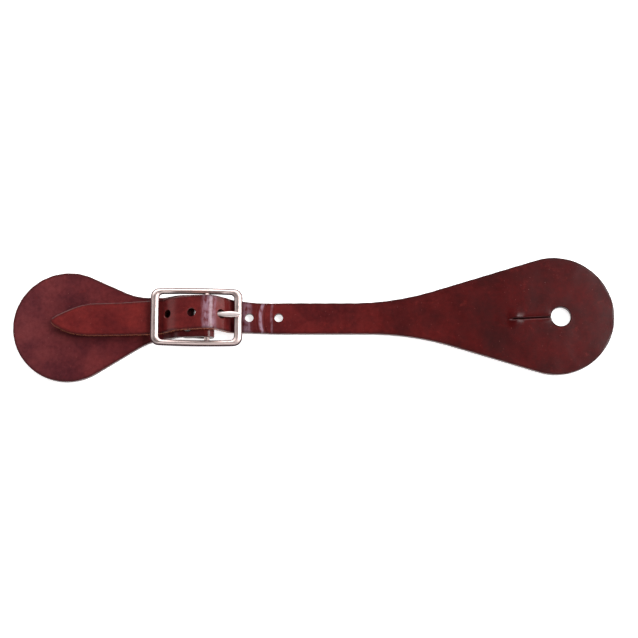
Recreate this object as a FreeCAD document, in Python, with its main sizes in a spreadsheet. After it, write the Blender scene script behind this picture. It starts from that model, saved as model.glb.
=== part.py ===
import FreeCAD, Part
import math
import os

import Sketcher
from FreeCAD import Placement, Rotation, Vector

# A western spur strap, lying on its flesh side and buckled at its middle hole.
# +X runs along the strap, from the buckle strap's lobe to the long strap's lobe, +Y across it and +Z up.
# The origin is the bottom centre of the bounding box. Lengths are in millimetres, angles in degrees.
# The long strap comes in from +X, goes under the buckle's front bar, over the fold of the buckle strap,
# under the keeper bar, and ends on top of the buckle strap's lobe.

os.makedirs("parts", exist_ok=True)
doc = FreeCAD.newDocument("spur_strap")
sheet = doc.addObject("Spreadsheet::Sheet", "dimensions")

DIMENSIONS = [
    ("leather", 3.0, "thickness of both straps"),
    ("fold_leather", 2.2, "thickness of the buckle strap where it is skived for its fold"),
    ("layer_gap", 0.2, "air between one layer of leather and the next"),
    ("long_lobe_place", 122.7, "X of the long strap's lobe, at its centre"),
    ("long_lobe_side", 1.7, "Y of the same"),
    ("long_lobe_radius", 30.3, "the same lobe"),
    ("short_lobe_place", -124.6, "X of the buckle strap's lobe, at its centre"),
    ("short_lobe_side", -4.25, "Y of the same"),
    ("short_lobe_radius", 28.1, "the same lobe"),
    ("neck_fillet", 145.0, "hollow curve from the long strap's neck to its lobe"),
    ("ear_fillet", 45.0, "hollow curve from the buckle strap's ear to its lobe"),
    ("long_bend", 5.0, "X where the long strap bends"),
    ("short_bend", -94.0, "X where the buckle strap bends"),
    ("bend_length", 24.0, "stretch of the long strap that takes the bend"),
    ("ear_length", 12.0, "stretch of the buckle strap that takes the bend"),
    ("bend_gap", 0.1, "between a bending stretch and the lobe that follows it"),
    ("bar_place", -54.0, "X of the centre bar"),
    ("bar_height", 7.0, "Z of the centre bar"),
    ("bar_diameter", 2.8, "centre bar"),
    ("bar_play", 0.3, "between the centre bar and the fold, all round"),
    ("tongue_play", 0.06, "between the centre bar and the tongue's curl, all round"),
    ("frame_tilt", 3.74, "the buckle's keeper end stands higher than its front"),
    ("frame_back", 28.5, "centre bar to the outside of the keeper bar"),
    ("frame_front", 17.9, "centre bar to the outside of the front bar"),
    ("frame_half", 14.5, "half the frame's width at its corners"),
    ("frame_bow", 0.5, "how far each side rail bows out"),
    ("frame_height", 3.0, "frame, top to bottom"),
    ("end_bar", 4.2, "width of the keeper bar and the front bar"),
    ("side_rail", 2.9, "width of the side rails"),
    ("frame_corner", 4.2, "outer corners of the frame"),
    ("window_corner", 2.0, "inner corners of the frame"),
    ("frame_round", 1.1, "rounding of the frame's outer edges"),
    ("window_bevel", 0.8, "bevel round the frame's window"),
    ("tenon", 1.5, "depth of the centre bar's ends in the side rails"),
    ("tongue_width", 2.8, "tongue"),
    ("tongue_thickness", 1.2, "tongue"),
    ("tongue_reach", 17.2, "centre bar to the tip of the tongue"),
    ("fold_half", 10.8, "half the buckle strap's width inside the frame"),
    ("fold_side", 0.2, "Y of the fold's middle"),
    ("slot_half", 2.2, "half the width of the fold's slot for the tongue"),
    ("slot_back", 6.2, "centre bar to the end of that slot"),
    ("crest_slope", 7.2, "slope of the leather on top of the buckle"),
    ("steep_slope", 50.0, "slope of the long strap between the front bar and the fold"),
    ("screw_back", 9.4, "centre bar to the screws"),
    ("screw_spacing", 10.6, "between the two screws"),
    ("head_diameter", 5.6, "heads of the screws and their posts"),
    ("head_height", 0.8, "the same heads"),
    ("head_sink", 0.9, "how deep a head is sunk in its layer"),
    ("post_diameter", 4.0, "barrel of a post"),
    ("shank_diameter", 2.4, "shank of a screw"),
    ("punch_play", 0.1, "between a post and the leather, all round"),
    ("hole_diameter", 4.3, "adjusting holes"),
    ("hole_pitch", 15.0, "between the adjusting holes"),
    ("worn_hole", 4.8, "the adjusting hole in use, worn by the tongue"),
    ("button_hole", 10.0, "holes for the spur's buttons"),
    ("slit_width", 0.8, "knife slits that let the buttons through"),
    ("slit_length", 19.4, "the same, from the edge of the button hole"),
    ("short_slit_length", 17.6, "the same on the buckle strap, as far as its ear"),
    ("edge_break", 0.5, "chamfer round the lobes, top and bottom"),
]
for row, (alias, value, note) in enumerate(DIMENSIONS, start=1):
    sheet.set(f"A{row}", alias)
    sheet.set(f"B{row}", str(value))
    sheet.setAlias(f"B{row}", alias)
    sheet.set(f"C{row}", note)
doc.recompute()


def size(alias):
    """One of the sheet's dimensions, as a plain number."""
    return float(sheet.get(alias))


# ---------------------------------------------------------------- drawing helpers


def rounded(corners):
    """Lines and tangent arcs along corners (a, b, radius), from the first to the last."""
    points = [Vector(a, b, 0) for a, b, _ in corners]
    pieces = []
    reached = points[0]
    for before, here, after, (_, _, radius) in zip(points, points[1:], points[2:], corners[1:]):
        back, ahead = (before - here).normalize(), (after - here).normalize()
        half_turn = (math.pi - back.getAngle(ahead)) / 2
        if radius <= 0 or half_turn < 1e-4:
            pieces.append(Part.LineSegment(reached, here))
            reached = here
            continue
        tangent = radius * math.tan(half_turn)
        middle = (back + ahead).normalize()
        summit = here + middle * (radius / math.cos(half_turn) - radius)
        start, end = here + back * tangent, here + ahead * tangent
        if (start - reached).Length > 1e-4:
            pieces.append(Part.LineSegment(reached, start))
        pieces.append(Part.Arc(start, summit, end))
        reached = end
    pieces.append(Part.LineSegment(reached, points[-1]))
    return pieces


def spline(points):
    """One smooth curve through (x, y) points, level at both ends."""
    curve = Part.BSplineCurve()
    along = 1 if points[-1][0] > points[0][0] else -1
    curve.interpolate(
        Points=[Vector(x, y, 0) for x, y in points],
        InitialTangent=Vector(along, 0, 0),
        FinalTangent=Vector(along, 0, 0),
    )
    return curve


def tangent_point(corner, centre, radius, side):
    """Where the line from corner touches a circle. side is 1 for its +Y side and -1 for its -Y side."""
    away = Vector(corner[0] - centre[0], corner[1] - centre[1], 0)
    half_angle = math.acos(radius / away.Length)
    turn = half_angle if (away.x < 0) == (side < 0) else -half_angle
    reach = math.atan2(away.y, away.x) + turn
    return centre[0] + radius * math.cos(reach), centre[1] + radius * math.sin(reach)


def meeting(point_a, slope_a, point_b, slope_b):
    """Where two lines meet, each given by a point (x, z) and a slope in radians."""
    rise_a, rise_b = math.tan(slope_a), math.tan(slope_b)
    x = (point_b[1] - point_a[1] + rise_a * point_a[0] - rise_b * point_b[0]) / (rise_a - rise_b)
    return x, point_a[1] + rise_a * (x - point_a[0])


def on_top(before, here, after, distance):
    """The corner at here of a path that runs distance above the path before, here, after."""
    back = Vector(here[0] - before[0], here[1] - before[1])
    ahead = Vector(after[0] - here[0], after[1] - here[1])
    along = (back.normalize() + ahead.normalize()).normalize()
    offset = distance / math.cos(back.getAngle(ahead) / 2)
    return here[0] - along.y * offset, here[1] + along.x * offset


def ribbon(stations):
    """The side view of a strip of leather. stations are (x, z, bend radius, thickness) along its middle."""
    upper, lower = [], []
    for i, (x, z, radius, thickness) in enumerate(stations):
        here = Vector(x, z, 0)
        ahead = here - Vector(*stations[i - 1][:2], 0) if i else Vector(*stations[1][:2], 0) - here
        back = Vector(ahead)
        if 0 < i < len(stations) - 1:
            ahead = Vector(*stations[i + 1][:2], 0) - here
        along = (back.normalize() + ahead.normalize()).normalize()
        offset = Vector(-along.y, along.x, 0) * (thickness / 2 / math.cos(back.getAngle(ahead) / 2))
        bend = thickness / 2 if back.cross(ahead).z < 0 else -thickness / 2
        up, down = here + offset, here - offset
        upper.append((up.x, up.y, radius + bend if radius else 0))
        lower.append((down.x, down.y, radius - bend if radius else 0))
    first_side, second_side = rounded(lower), rounded(upper[::-1])
    end_cap = Part.LineSegment(Vector(*lower[-1][:2], 0), Vector(*upper[-1][:2], 0))
    start_cap = Part.LineSegment(Vector(*upper[0][:2], 0), Vector(*lower[0][:2], 0))
    return first_side + [end_cap] + second_side + [start_cap]


# ---------------------------------------------------------------- document helpers

bodies = []


def new_body(label):
    """A PartDesign body for one piece."""
    body = doc.addObject("PartDesign::Body", label)
    body.Label = label
    bodies.append(body)
    return body


def sketch_on(body, name, role, geometry):
    """A sketch on one of the body's own origin planes."""
    sketch = body.newObject("Sketcher::SketchObject", name)
    plane = next(item for item in body.Origin.OriginFeatures if item.Role == role)
    sketch.AttachmentSupport = (plane, "")
    sketch.MapMode = "FlatFace"
    sketch.addGeometry(geometry, False)
    return sketch


def circle_at(centre_x, centre_y, radius):
    """A full circle for a sketch."""
    return Part.Circle(Vector(centre_x, centre_y, 0), Vector(0, 0, 1), radius)


def loop(points):
    """A closed outline of straight lines."""
    corners = [Vector(x, y, 0) for x, y in points]
    return [Part.LineSegment(a, b) for a, b in zip(corners, corners[1:] + corners[:1])]


def bind_radius(sketch, index, expression):
    """A radius constraint on one curve of a sketch, bound to the sheet."""
    constraint = sketch.addConstraint(Sketcher.Constraint("Radius", index, 1.0))
    sketch.setExpression(f"Constraints[{constraint}]", expression)


def pad(body, name, sketch, length, symmetric=True):
    """A pad whose length is an expression on the sheet."""
    made = body.newObject("PartDesign::Pad", name)
    made.Profile = sketch
    made.Midplane = symmetric
    made.setExpression("Length", length)
    return made


def pocket(body, name, sketch, length="200 mm"):
    """A pocket to both sides of its sketch. It must take something away."""
    doc.recompute()
    before = body.Shape.Volume
    made = body.newObject("PartDesign::Pocket", name)
    made.Profile = sketch
    made.Midplane = True
    made.setExpression("Length", length)
    doc.recompute()
    if not body.Shape.Volume < before - 0.01:
        raise RuntimeError(f"{body.Label}: {name} cuts nothing")
    return made


def edge_finish(body, kind, name, wanted, amount):
    """A Fillet or Chamfer on the edges of the body's tip that wanted() accepts."""
    doc.recompute()
    tip = body.Tip
    names = [f"Edge{i}" for i, edge in enumerate(tip.Shape.Edges, start=1) if wanted(edge)]
    made = body.newObject("PartDesign::" + kind, name)
    made.Base = (tip, names)
    made.setExpression("Radius" if kind == "Fillet" else "Size", amount)
    doc.recompute()
    return made


# ---------------------------------------------------------------- shared geometry

leather = size("leather")
fold_leather = size("fold_leather")
layer_gap = size("layer_gap")
bar_x, bar_z = size("bar_place"), size("bar_height")
bar_radius = size("bar_diameter") / 2
fold_radius = bar_radius + size("bar_play") + fold_leather / 2
crest_slope, steep_slope = math.radians(size("crest_slope")), math.radians(size("steep_slope"))
FAR = 400.0  # beyond every piece


def by_crest(along, up):
    """A point (x, z) by its distance from the centre bar along the crest's slope and its height off it."""
    cosine, sine = math.cos(crest_slope), math.sin(crest_slope)
    return bar_x + along * cosine - up * sine, bar_z + along * sine + up * cosine


# The fold's path, in side view: along the bench, up to the crest, round the centre bar and back underneath.
tab_height = fold_radius - fold_leather - layer_gap / 2
pinch = (-6.4, tab_height)
pinch_angle = math.atan2(pinch[1], -pinch[0]) + math.asin(fold_radius / math.hypot(*pinch))
bench_level = leather / 2
ear_foot = (-75.7, bench_level)
shoulder = by_crest(-13.8, fold_radius)
bar_top_corner = by_crest(fold_radius, fold_radius)
bar_low_corner = by_crest(fold_radius, pinch[1] - math.tan(pinch_angle) * (fold_radius - pinch[0]))

# The long strap's path runs on top of it, and then down to the bench under the front bar.
over_fold = fold_radius + fold_leather / 2 + layer_gap + leather / 2
over_ear = leather + layer_gap
steep_point = (bar_x + over_fold * math.sin(steep_slope), bar_z + over_fold * math.cos(steep_slope))
billet_crest = meeting(by_crest(0, over_fold), crest_slope, steep_point, -steep_slope)
billet_toe = meeting(steep_point, -steep_slope, (0, bench_level + 0.5), 0.0)
billet_shoulder = on_top(ear_foot, shoulder, bar_top_corner, over_fold - fold_radius)
billet_foot = on_top((-FAR, bench_level), ear_foot, shoulder, over_ear)
billet_end = -133.6

long_lobe = (size("long_lobe_place"), size("long_lobe_side"))
short_lobe = (size("short_lobe_place"), size("short_lobe_side"))
long_button = (long_lobe[0] + 3.1, long_lobe[1] - 0.4)
short_button = (short_lobe[0] + 0.8, short_lobe[1] + 2.65)
tongue_line_y = 1.3  # the row of adjusting holes, where it crosses the buckle


def long_plan():
    """The long strap from above, seen whole: billet, neck and lobe."""
    radius = size("long_lobe_radius")
    top_corner, low_corner = (40.5, 8.2), (49.6, -7.7)
    top_touch = tangent_point(top_corner, long_lobe, radius, 1)
    low_touch = tangent_point(low_corner, long_lobe, radius, -1)
    top_billet = [(-14.0, 8.2), (-30.0, 8.7), (-56.0, 9.5), (-83.5, 8.3), (-113.0, 7.3)]
    low_billet = [(-113.0, -9.1), (-83.5, -8.5), (-56.0, -7.1), (-30.0, -7.2), (-14.0, -7.7)]
    top_tip = [(-113.0, 7.3), (-123.4, 4.2), (-131.8, -0.3)]
    low_tip = [(-132.3, -3.5), (-124.0, -7.7), (-113.0, -9.1)]
    corners = [Vector(x, y, 0) for x, y in [*top_tip, (-133.3, -1.8), *low_tip]]
    sides = rounded([(*top_touch, 0), (*top_corner, size("neck_fillet")), (*top_billet[0], 0)])
    sides.append(spline(top_billet))
    sides.append(Part.Arc(*corners[:3]))
    sides.append(Part.Arc(*corners[2:5]))
    sides.append(Part.Arc(*corners[4:]))
    sides.append(spline(low_billet))
    sides += rounded([(*low_billet[-1], 0), (*low_corner, size("neck_fillet")), (*low_touch, 0)])
    far = (long_lobe[0] + radius, long_lobe[1])
    sides.append(Part.Arc(Vector(*low_touch, 0), Vector(*far, 0), Vector(*top_touch, 0)))
    return sides


def short_plan():
    """The buckle strap from above, as far as its fold."""
    radius = size("short_lobe_radius")
    top_corner, low_corner = (-90.0, 11.0), (-84.5, -12.6)
    top_touch = tangent_point(top_corner, short_lobe, radius, 1)
    low_touch = tangent_point(low_corner, short_lobe, radius, -1)
    fillet, edge = size("ear_fillet"), size("fold_half")
    high, low = size("fold_side") + edge, size("fold_side") - edge
    end = bar_x + fold_radius + fold_leather
    sides = rounded([(*top_touch, 0), (*top_corner, fillet), (-76.0, high, 0), (end, high, 0)])
    sides.append(Part.LineSegment(Vector(end, high, 0), Vector(end, low, 0)))
    sides += rounded([(end, low, 0), (-76.0, low, 12), (*low_corner, fillet), (*low_touch, 0)])
    far = (short_lobe[0] - radius, short_lobe[1])
    sides.append(Part.Arc(Vector(*low_touch, 0), Vector(*far, 0), Vector(*top_touch, 0)))
    return sides


def leather_body(label, stations, plan):
    """A strip of leather: its side view padded across, then trimmed to its plan."""
    body = new_body(label)
    side = sketch_on(body, label + "_side", "XZ_Plane", ribbon(stations))
    pad(body, label + "_strip", side, "4 * dimensions.long_lobe_radius")
    frame = loop([(-FAR, -FAR), (FAR, -FAR), (FAR, FAR), (-FAR, FAR)])
    pocket(body, label + "_trim", sketch_on(body, label + "_plan", "XY_Plane", frame + plan))
    return body


def button_hole(body, name, centre, slit_turn, slit_side, slit_length):
    """A round hole for a button, with a knife slit that runs from it along -X (side -1) or +X (side 1)."""
    hole = sketch_on(body, name, "XY_Plane", [circle_at(*centre, size("button_hole") / 2)])
    bind_radius(hole, 0, "dimensions.button_hole / 2")
    pocket(body, name + "_punch", hole)
    half = size("slit_width") / 2
    near, far = size("button_hole") / 2 - 1, size("button_hole") / 2 + slit_length
    turn = math.radians(slit_turn)
    corners = [(near, -half), (far, 0), (near, half)]
    placed = []
    for along, across in corners:
        x, y = slit_side * along, across
        placed.append((centre[0] + x * math.cos(turn) - y * math.sin(turn),
                       centre[1] + x * math.sin(turn) + y * math.cos(turn)))
    pocket(body, name + "_slit", sketch_on(body, name + "_cut", "XY_Plane", loop(placed)))


def level_outline(edge):
    """Whether an edge runs round a flat piece of leather at its top or its bottom, outside its holes."""
    box = edge.BoundBox
    return box.ZLength < 0.01 and edge.Length > 12 and (box.ZMax > leather - 0.01 or box.ZMin < 0.01)


# ---------------------------------------------------------------- long strap

long_bend, bend_half = size("long_bend"), size("bend_length") / 2
billet = leather_body(
    "billet",
    [
        (billet_end, bench_level + over_ear + 1.6, 0, leather),
        (-112.0, bench_level + over_ear, 60, leather),
        (*billet_foot, 4.5, leather),
        (*billet_shoulder, 6.5, leather),
        (*billet_crest, over_fold, leather),
        (*billet_toe, 4.5, leather),
        (-27.0, bench_level, 40, leather),
        (long_bend - bend_half, bench_level, 0, leather),
    ],
    long_plan(),
)
flat_holes = [circle_at(-32.8 + i * size("hole_pitch"), 0.6, size("hole_diameter") / 2) for i in range(2)]
flat_holes.append(circle_at(by_crest(-7.4, 0)[0], tongue_line_y, size("hole_diameter") / 2))
punched = sketch_on(billet, "adjusting_holes", "XY_Plane", flat_holes)
for index in range(len(flat_holes)):
    bind_radius(punched, index, "dimensions.hole_diameter / 2")
pocket(billet, "adjusting_punch", punched)


def leaning_sketch(body, name, point, lean, geometry):
    """A sketch at point (x, z), square to a direction that leans from +Z towards +X by lean degrees."""
    sketch = sketch_on(body, name, "XY_Plane", geometry)
    sketch.AttachmentOffset = Placement(Vector(point[0], 0, point[1]), Rotation(Vector(0, 1, 0), lean))
    return sketch


# The hole on the slope behind the crest is square to the leather. The one in use is worn along the tongue.
slope_middle = ((billet_foot[0] + billet_shoulder[0]) / 2, (billet_foot[1] + billet_shoulder[1]) / 2)
slope_lean = -math.degrees(
    math.atan2(billet_shoulder[1] - billet_foot[1], billet_shoulder[0] - billet_foot[0])
)
slope_hole = leaning_sketch(
    billet, "slope_hole", slope_middle, slope_lean, [circle_at(0, tongue_line_y, size("hole_diameter") / 2)]
)
bind_radius(slope_hole, 0, "dimensions.hole_diameter / 2")
pocket(billet, "slope_punch", slope_hole, "4 * dimensions.leather")
tongue_top = bar_z + 2.15
worn = meeting(steep_point, -steep_slope, (bar_x, tongue_top), math.radians(-size("frame_tilt")))
worn_hole = leaning_sketch(
    billet, "worn_hole", (worn[0], worn[1] + 0.3), 90, [circle_at(0, tongue_line_y, size("worn_hole") / 2)]
)
bind_radius(worn_hole, 0, "dimensions.worn_hole / 2")
pocket(billet, "worn_punch", worn_hole, "4 * dimensions.leather")

long_neck = leather_body(
    "long_neck",
    [(long_bend - bend_half, bench_level, 0, leather), (long_bend + bend_half, bench_level, 0, leather)],
    long_plan(),
)
long_lobe_body = leather_body(
    "long_lobe",
    [(long_bend + bend_half + size("bend_gap"), bench_level, 0, leather), (FAR / 2, bench_level, 0, leather)],
    long_plan(),
)
edge_finish(long_lobe_body, "Chamfer", "long_lobe_edge", level_outline, "dimensions.edge_break")
button_hole(long_lobe_body, "long_button", long_button, 3.0, -1, size("slit_length"))

# ---------------------------------------------------------------- buckle strap

short_bend, ear_half = size("short_bend"), size("ear_length") / 2
fold = leather_body(
    "fold",
    [
        (short_bend + ear_half, bench_level, 0, leather),
        (*ear_foot, 6, leather),
        (*shoulder, 4, fold_leather),
        (*bar_top_corner, fold_radius, fold_leather),
        (*bar_low_corner, fold_radius, fold_leather),
        (*by_crest(*pinch), 3, fold_leather),
        (*by_crest(-12.8, tab_height), 0, fold_leather),
    ],
    short_plan(),
)
slot_half, slot_side = size("slot_half"), tongue_line_y
slot_end = bar_x - size("slot_back")
slot = loop(
    [
        (slot_end, slot_side - slot_half),
        (0, slot_side - slot_half),
        (0, slot_side + slot_half),
        (slot_end, slot_side + slot_half),
    ]
)
pocket(fold, "tongue_slot", sketch_on(fold, "slot_outline", "XY_Plane", slot))
screw_sides = [size("fold_side") + side * size("screw_spacing") / 2 for side in (-1, 1)]
screw_point = by_crest(-size("screw_back"), 0)
screw_lean = -size("crest_slope")
post_room = size("post_diameter") / 2 + size("punch_play")
head_room = size("head_diameter") / 2 + size("punch_play")
fold_top = fold_radius + fold_leather / 2
tab_bottom = tab_height - fold_leather / 2
for name, room, level, depth in [
    ("post_holes", post_room, 0.0, 4 * leather),
    ("top_sinks", head_room, fold_top, 2 * size("head_sink")),
    ("low_sinks", head_room, tab_bottom, 2 * size("head_sink")),
]:
    level_point = by_crest(-size("screw_back"), level)
    circles = [circle_at(0, side, room) for side in screw_sides]
    pocket(fold, name, leaning_sketch(fold, name + "_plan", level_point, screw_lean, circles), f"{depth} mm")

buckle_ear = leather_body(
    "buckle_ear",
    [(short_bend - ear_half, bench_level, 0, leather), (short_bend + ear_half, bench_level, 0, leather)],
    short_plan(),
)
short_lobe_end = short_bend - ear_half - size("bend_gap")
short_lobe_body = leather_body(
    "short_lobe",
    [(-FAR / 2, bench_level, 0, leather), (short_lobe_end, bench_level, 0, leather)],
    short_plan(),
)
edge_finish(short_lobe_body, "Chamfer", "short_lobe_edge", level_outline, "dimensions.edge_break")
button_hole(short_lobe_body, "short_button", short_button, 0.0, 1, size("short_slit_length"))

# ---------------------------------------------------------------- buckle

at_bar = Placement(Vector(bar_x, 0, bar_z), Rotation(Vector(0, 1, 0), size("frame_tilt")))
window_half = size("frame_half") - size("side_rail")
back, front = -size("frame_back"), size("frame_front")


def edge_curve(edge):
    """The line or arc of an edge, as sketch geometry."""
    first, last = edge.valueAt(edge.FirstParameter), edge.valueAt(edge.LastParameter)
    if isinstance(edge.Curve, Part.Line):
        return Part.LineSegment(first, last)
    middle = edge.valueAt((edge.FirstParameter + edge.LastParameter) / 2)
    return Part.Arc(first, middle, last)


def frame_outline(low, high, half, bow, corner):
    """The frame's outer or inner outline: straight ends, bowed sides and round corners."""
    middle = (low + high) / 2
    sides = [
        Part.LineSegment(Vector(low, half, 0), Vector(low, -half, 0)),
        Part.Arc(Vector(low, -half, 0), Vector(middle, -half - bow, 0), Vector(high, -half, 0)),
        Part.LineSegment(Vector(high, -half, 0), Vector(high, half, 0)),
        Part.Arc(Vector(high, half, 0), Vector(middle, half + bow, 0), Vector(low, half, 0)),
    ]
    solid = Part.Face(Part.Wire([side.toShape() for side in sides])).extrude(Vector(0, 0, 1))
    upright = [edge for edge in solid.Edges if abs(edge.tangentAt(edge.FirstParameter).z) > 0.9]
    base = next(f for f in solid.makeFillet(corner, upright).Faces if abs(f.BoundBox.ZMax) < 1e-6)
    return [edge_curve(edge) for edge in base.Edges]


frame = new_body("buckle_frame")
outer = frame_outline(back, front, size("frame_half"), size("frame_bow"), size("frame_corner"))
pad(frame, "frame_pad", sketch_on(frame, "frame_outside", "XY_Plane", outer), "dimensions.frame_height")
doc.recompute()


def flat_rim(edge):
    """Whether an edge lies in the frame's top or bottom face."""
    return edge.BoundBox.ZLength < 0.01


edge_finish(frame, "Fillet", "frame_rounding", flat_rim, "dimensions.frame_round")
end_bar = size("end_bar")
inner = frame_outline(back + end_bar, front - end_bar, window_half, size("frame_bow"), size("window_corner"))
pocket(frame, "window", sketch_on(frame, "window_outline", "XY_Plane", inner))


def window_rim(edge):
    """Whether an edge lies in the frame's top face, on the window's side."""
    box = edge.BoundBox
    inside = box.XMin > back + end_bar - 0.1 and box.XMax < front - end_bar + 0.1
    level = box.ZLength < 0.01 and box.ZMin > size("frame_height") / 2 - 0.1
    return level and inside and abs(box.Center.y) < window_half + size("frame_bow") + 0.05


edge_finish(frame, "Chamfer", "window_rim", window_rim, "dimensions.window_bevel")
bar_seats = sketch_on(frame, "bar_seats", "XZ_Plane", [circle_at(0, 0, bar_radius)])
bind_radius(bar_seats, 0, "dimensions.bar_diameter / 2")
bar_half = window_half + size("frame_bow") + size("tenon")
pocket(frame, "seats", bar_seats, f"{2 * bar_half} mm")
frame.Placement = at_bar

centre_bar = new_body("centre_bar")
bar_round = sketch_on(centre_bar, "bar_round", "XZ_Plane", [circle_at(0, 0, bar_radius)])
bind_radius(bar_round, 0, "dimensions.bar_diameter / 2")
pad(centre_bar, "bar_pad", bar_round, f"{2 * bar_half} mm")
centre_bar.Placement = at_bar

# The tongue: a curl round the centre bar and a flat arm that rests on the front bar.
tongue = new_body("tongue")
curl_inside = bar_radius + size("tongue_play")
curl_outside = curl_inside + size("tongue_thickness")
reach, rest = size("tongue_reach"), size("frame_height") / 2 + 0.12
arm = [
    (0, curl_inside + 0.1),
    (front - end_bar, rest),
    (reach - 0.6, rest),
    (reach, rest + 0.35),
    (reach - 0.8, rest + size("tongue_thickness")),
    (0, curl_outside),
]
curl_circles = [circle_at(0, 0, curl_outside), circle_at(0, 0, curl_inside)]
curl = sketch_on(tongue, "curl_outline", "XZ_Plane", curl_circles)
bind_radius(curl, 0, "dimensions.bar_diameter / 2 + dimensions.tongue_play + dimensions.tongue_thickness")
bind_radius(curl, 1, "dimensions.bar_diameter / 2 + dimensions.tongue_play")
pad(tongue, "curl", curl, "dimensions.tongue_width")
pad(tongue, "arm", sketch_on(tongue, "arm_outline", "XZ_Plane", loop(arm)), "dimensions.tongue_width")
half_width = size("tongue_width") / 2
taper = loop(
    [
        (reach - 5.0, half_width),
        (reach + 1, half_width),
        (reach + 1, -half_width),
        (reach - 5.0, -half_width),
        (reach, -0.5),
        (reach, 0.5),
    ]
)
pocket(tongue, "taper", sketch_on(tongue, "taper_outline", "XY_Plane", taper))
tongue.Placement = Placement(Vector(0, tongue_line_y, 0), Rotation()).multiply(at_bar)

# ---------------------------------------------------------------- screws

at_screws = Rotation(Vector(0, 1, 0), screw_lean)
head_gap = size("head_sink") - size("head_height")
post_seat = fold_top - size("head_sink")
screw_seat = tab_bottom + size("head_sink")


def turned_part(label, discs, side, bore=None):
    """A turned part on the local Z axis. discs are (radius expression, from, to) and bore the same."""
    body = new_body(label)
    for index, (radius, low, high) in enumerate(discs):
        disc = sketch_on(body, f"{label}_disc_{index}", "XY_Plane", [circle_at(0, 0, high - low)])
        bind_radius(disc, 0, radius)
        disc.AttachmentOffset = Placement(Vector(0, 0, low), Rotation())
        pad(body, f"{label}_pad_{index}", disc, f"{high - low} mm", symmetric=False)
    if bore:
        radius, low, high = bore
        drilled = sketch_on(body, f"{label}_bore", "XY_Plane", [circle_at(0, 0, high - low)])
        bind_radius(drilled, 0, radius)
        drilled.AttachmentOffset = Placement(Vector(0, 0, low), Rotation())
        pocket(body, f"{label}_drill", drilled, f"{2 * (high - low)} mm")
    body.Placement = Placement(Vector(bar_x, side, bar_z), at_screws).multiply(
        Placement(Vector(-size("screw_back"), 0, 0), Rotation())
    )
    return body


for side_name, side in zip(("right", "left"), screw_sides):
    turned_part(
        f"post_{side_name}",
        [
            ("dimensions.head_diameter / 2", post_seat, fold_top - head_gap),
            ("dimensions.post_diameter / 2", screw_seat + 0.1, post_seat),
        ],
        side,
        ("dimensions.shank_diameter / 2", screw_seat + 0.1, post_seat - 0.6),
    )
    turned_part(
        f"screw_{side_name}",
        [
            ("dimensions.head_diameter / 2", tab_bottom + head_gap, screw_seat),
            ("dimensions.shank_diameter / 2", screw_seat, post_seat - 0.8),
        ],
        side,
    )

# ---------------------------------------------------------------- checks and files

doc.recompute()
for item in doc.Objects:
    if "Invalid" in item.State or "Error" in item.State:
        raise RuntimeError(f"{item.Label} failed: {item.State}")
for body in bodies:
    if body.Shape.isNull() or not body.Shape.isValid() or len(body.Shape.Solids) != 1:
        raise RuntimeError(f"{body.Label} has no single valid solid")
for body in bodies:
    body.Shape.exportStep(f"parts/{body.Label}.step")
    box = body.Shape.BoundBox
    print(
        f"{body.Label:14s} volume {body.Shape.Volume:9.1f}  x {box.XMin:7.2f} {box.XMax:7.2f}"
        f"  y {box.YMin:6.2f} {box.YMax:6.2f}  z {box.ZMin:5.2f} {box.ZMax:5.2f}"
    )
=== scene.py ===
"""A western spur strap on a pale bench: two oiled leather pieces joined by a nickel buckle."""
import logging
import math
from dataclasses import dataclass, field
from enum import Enum
from typing import ClassVar

import bpy
import numpy as np
from mathutils import Matrix, Vector, noise


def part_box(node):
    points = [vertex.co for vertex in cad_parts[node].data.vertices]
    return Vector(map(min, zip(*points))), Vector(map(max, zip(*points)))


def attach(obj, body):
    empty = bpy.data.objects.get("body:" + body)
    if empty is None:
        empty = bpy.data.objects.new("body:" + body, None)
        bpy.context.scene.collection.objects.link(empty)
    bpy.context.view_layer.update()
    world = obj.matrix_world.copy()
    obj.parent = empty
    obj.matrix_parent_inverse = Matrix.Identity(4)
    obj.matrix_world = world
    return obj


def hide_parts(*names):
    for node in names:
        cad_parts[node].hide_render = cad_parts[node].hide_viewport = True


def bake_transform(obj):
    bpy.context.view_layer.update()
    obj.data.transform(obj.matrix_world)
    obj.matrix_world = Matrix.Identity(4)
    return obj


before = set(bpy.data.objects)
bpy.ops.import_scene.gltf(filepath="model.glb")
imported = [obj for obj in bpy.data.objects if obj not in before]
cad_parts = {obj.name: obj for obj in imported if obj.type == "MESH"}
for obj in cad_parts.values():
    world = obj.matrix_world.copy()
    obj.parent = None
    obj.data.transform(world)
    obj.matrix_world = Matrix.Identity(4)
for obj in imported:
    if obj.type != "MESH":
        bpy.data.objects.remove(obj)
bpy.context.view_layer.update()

MM = 0.001
log = logging.getLogger("spur_strap")
Points = np.ndarray
Piece, Material, Socket = bpy.types.Object, bpy.types.Material, bpy.types.NodeSocket
Pair, Triple = tuple[float, float], tuple[float, float, float]
Four = tuple[float, float, float, float]


class Slot(Enum):
    """The record's material slots."""

    LEATHER = "strap_leather"
    BUCKLE = "buckle_nickel"
    SCREW = "screw_nickel"


# ---- drawing in two dimensions


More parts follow.
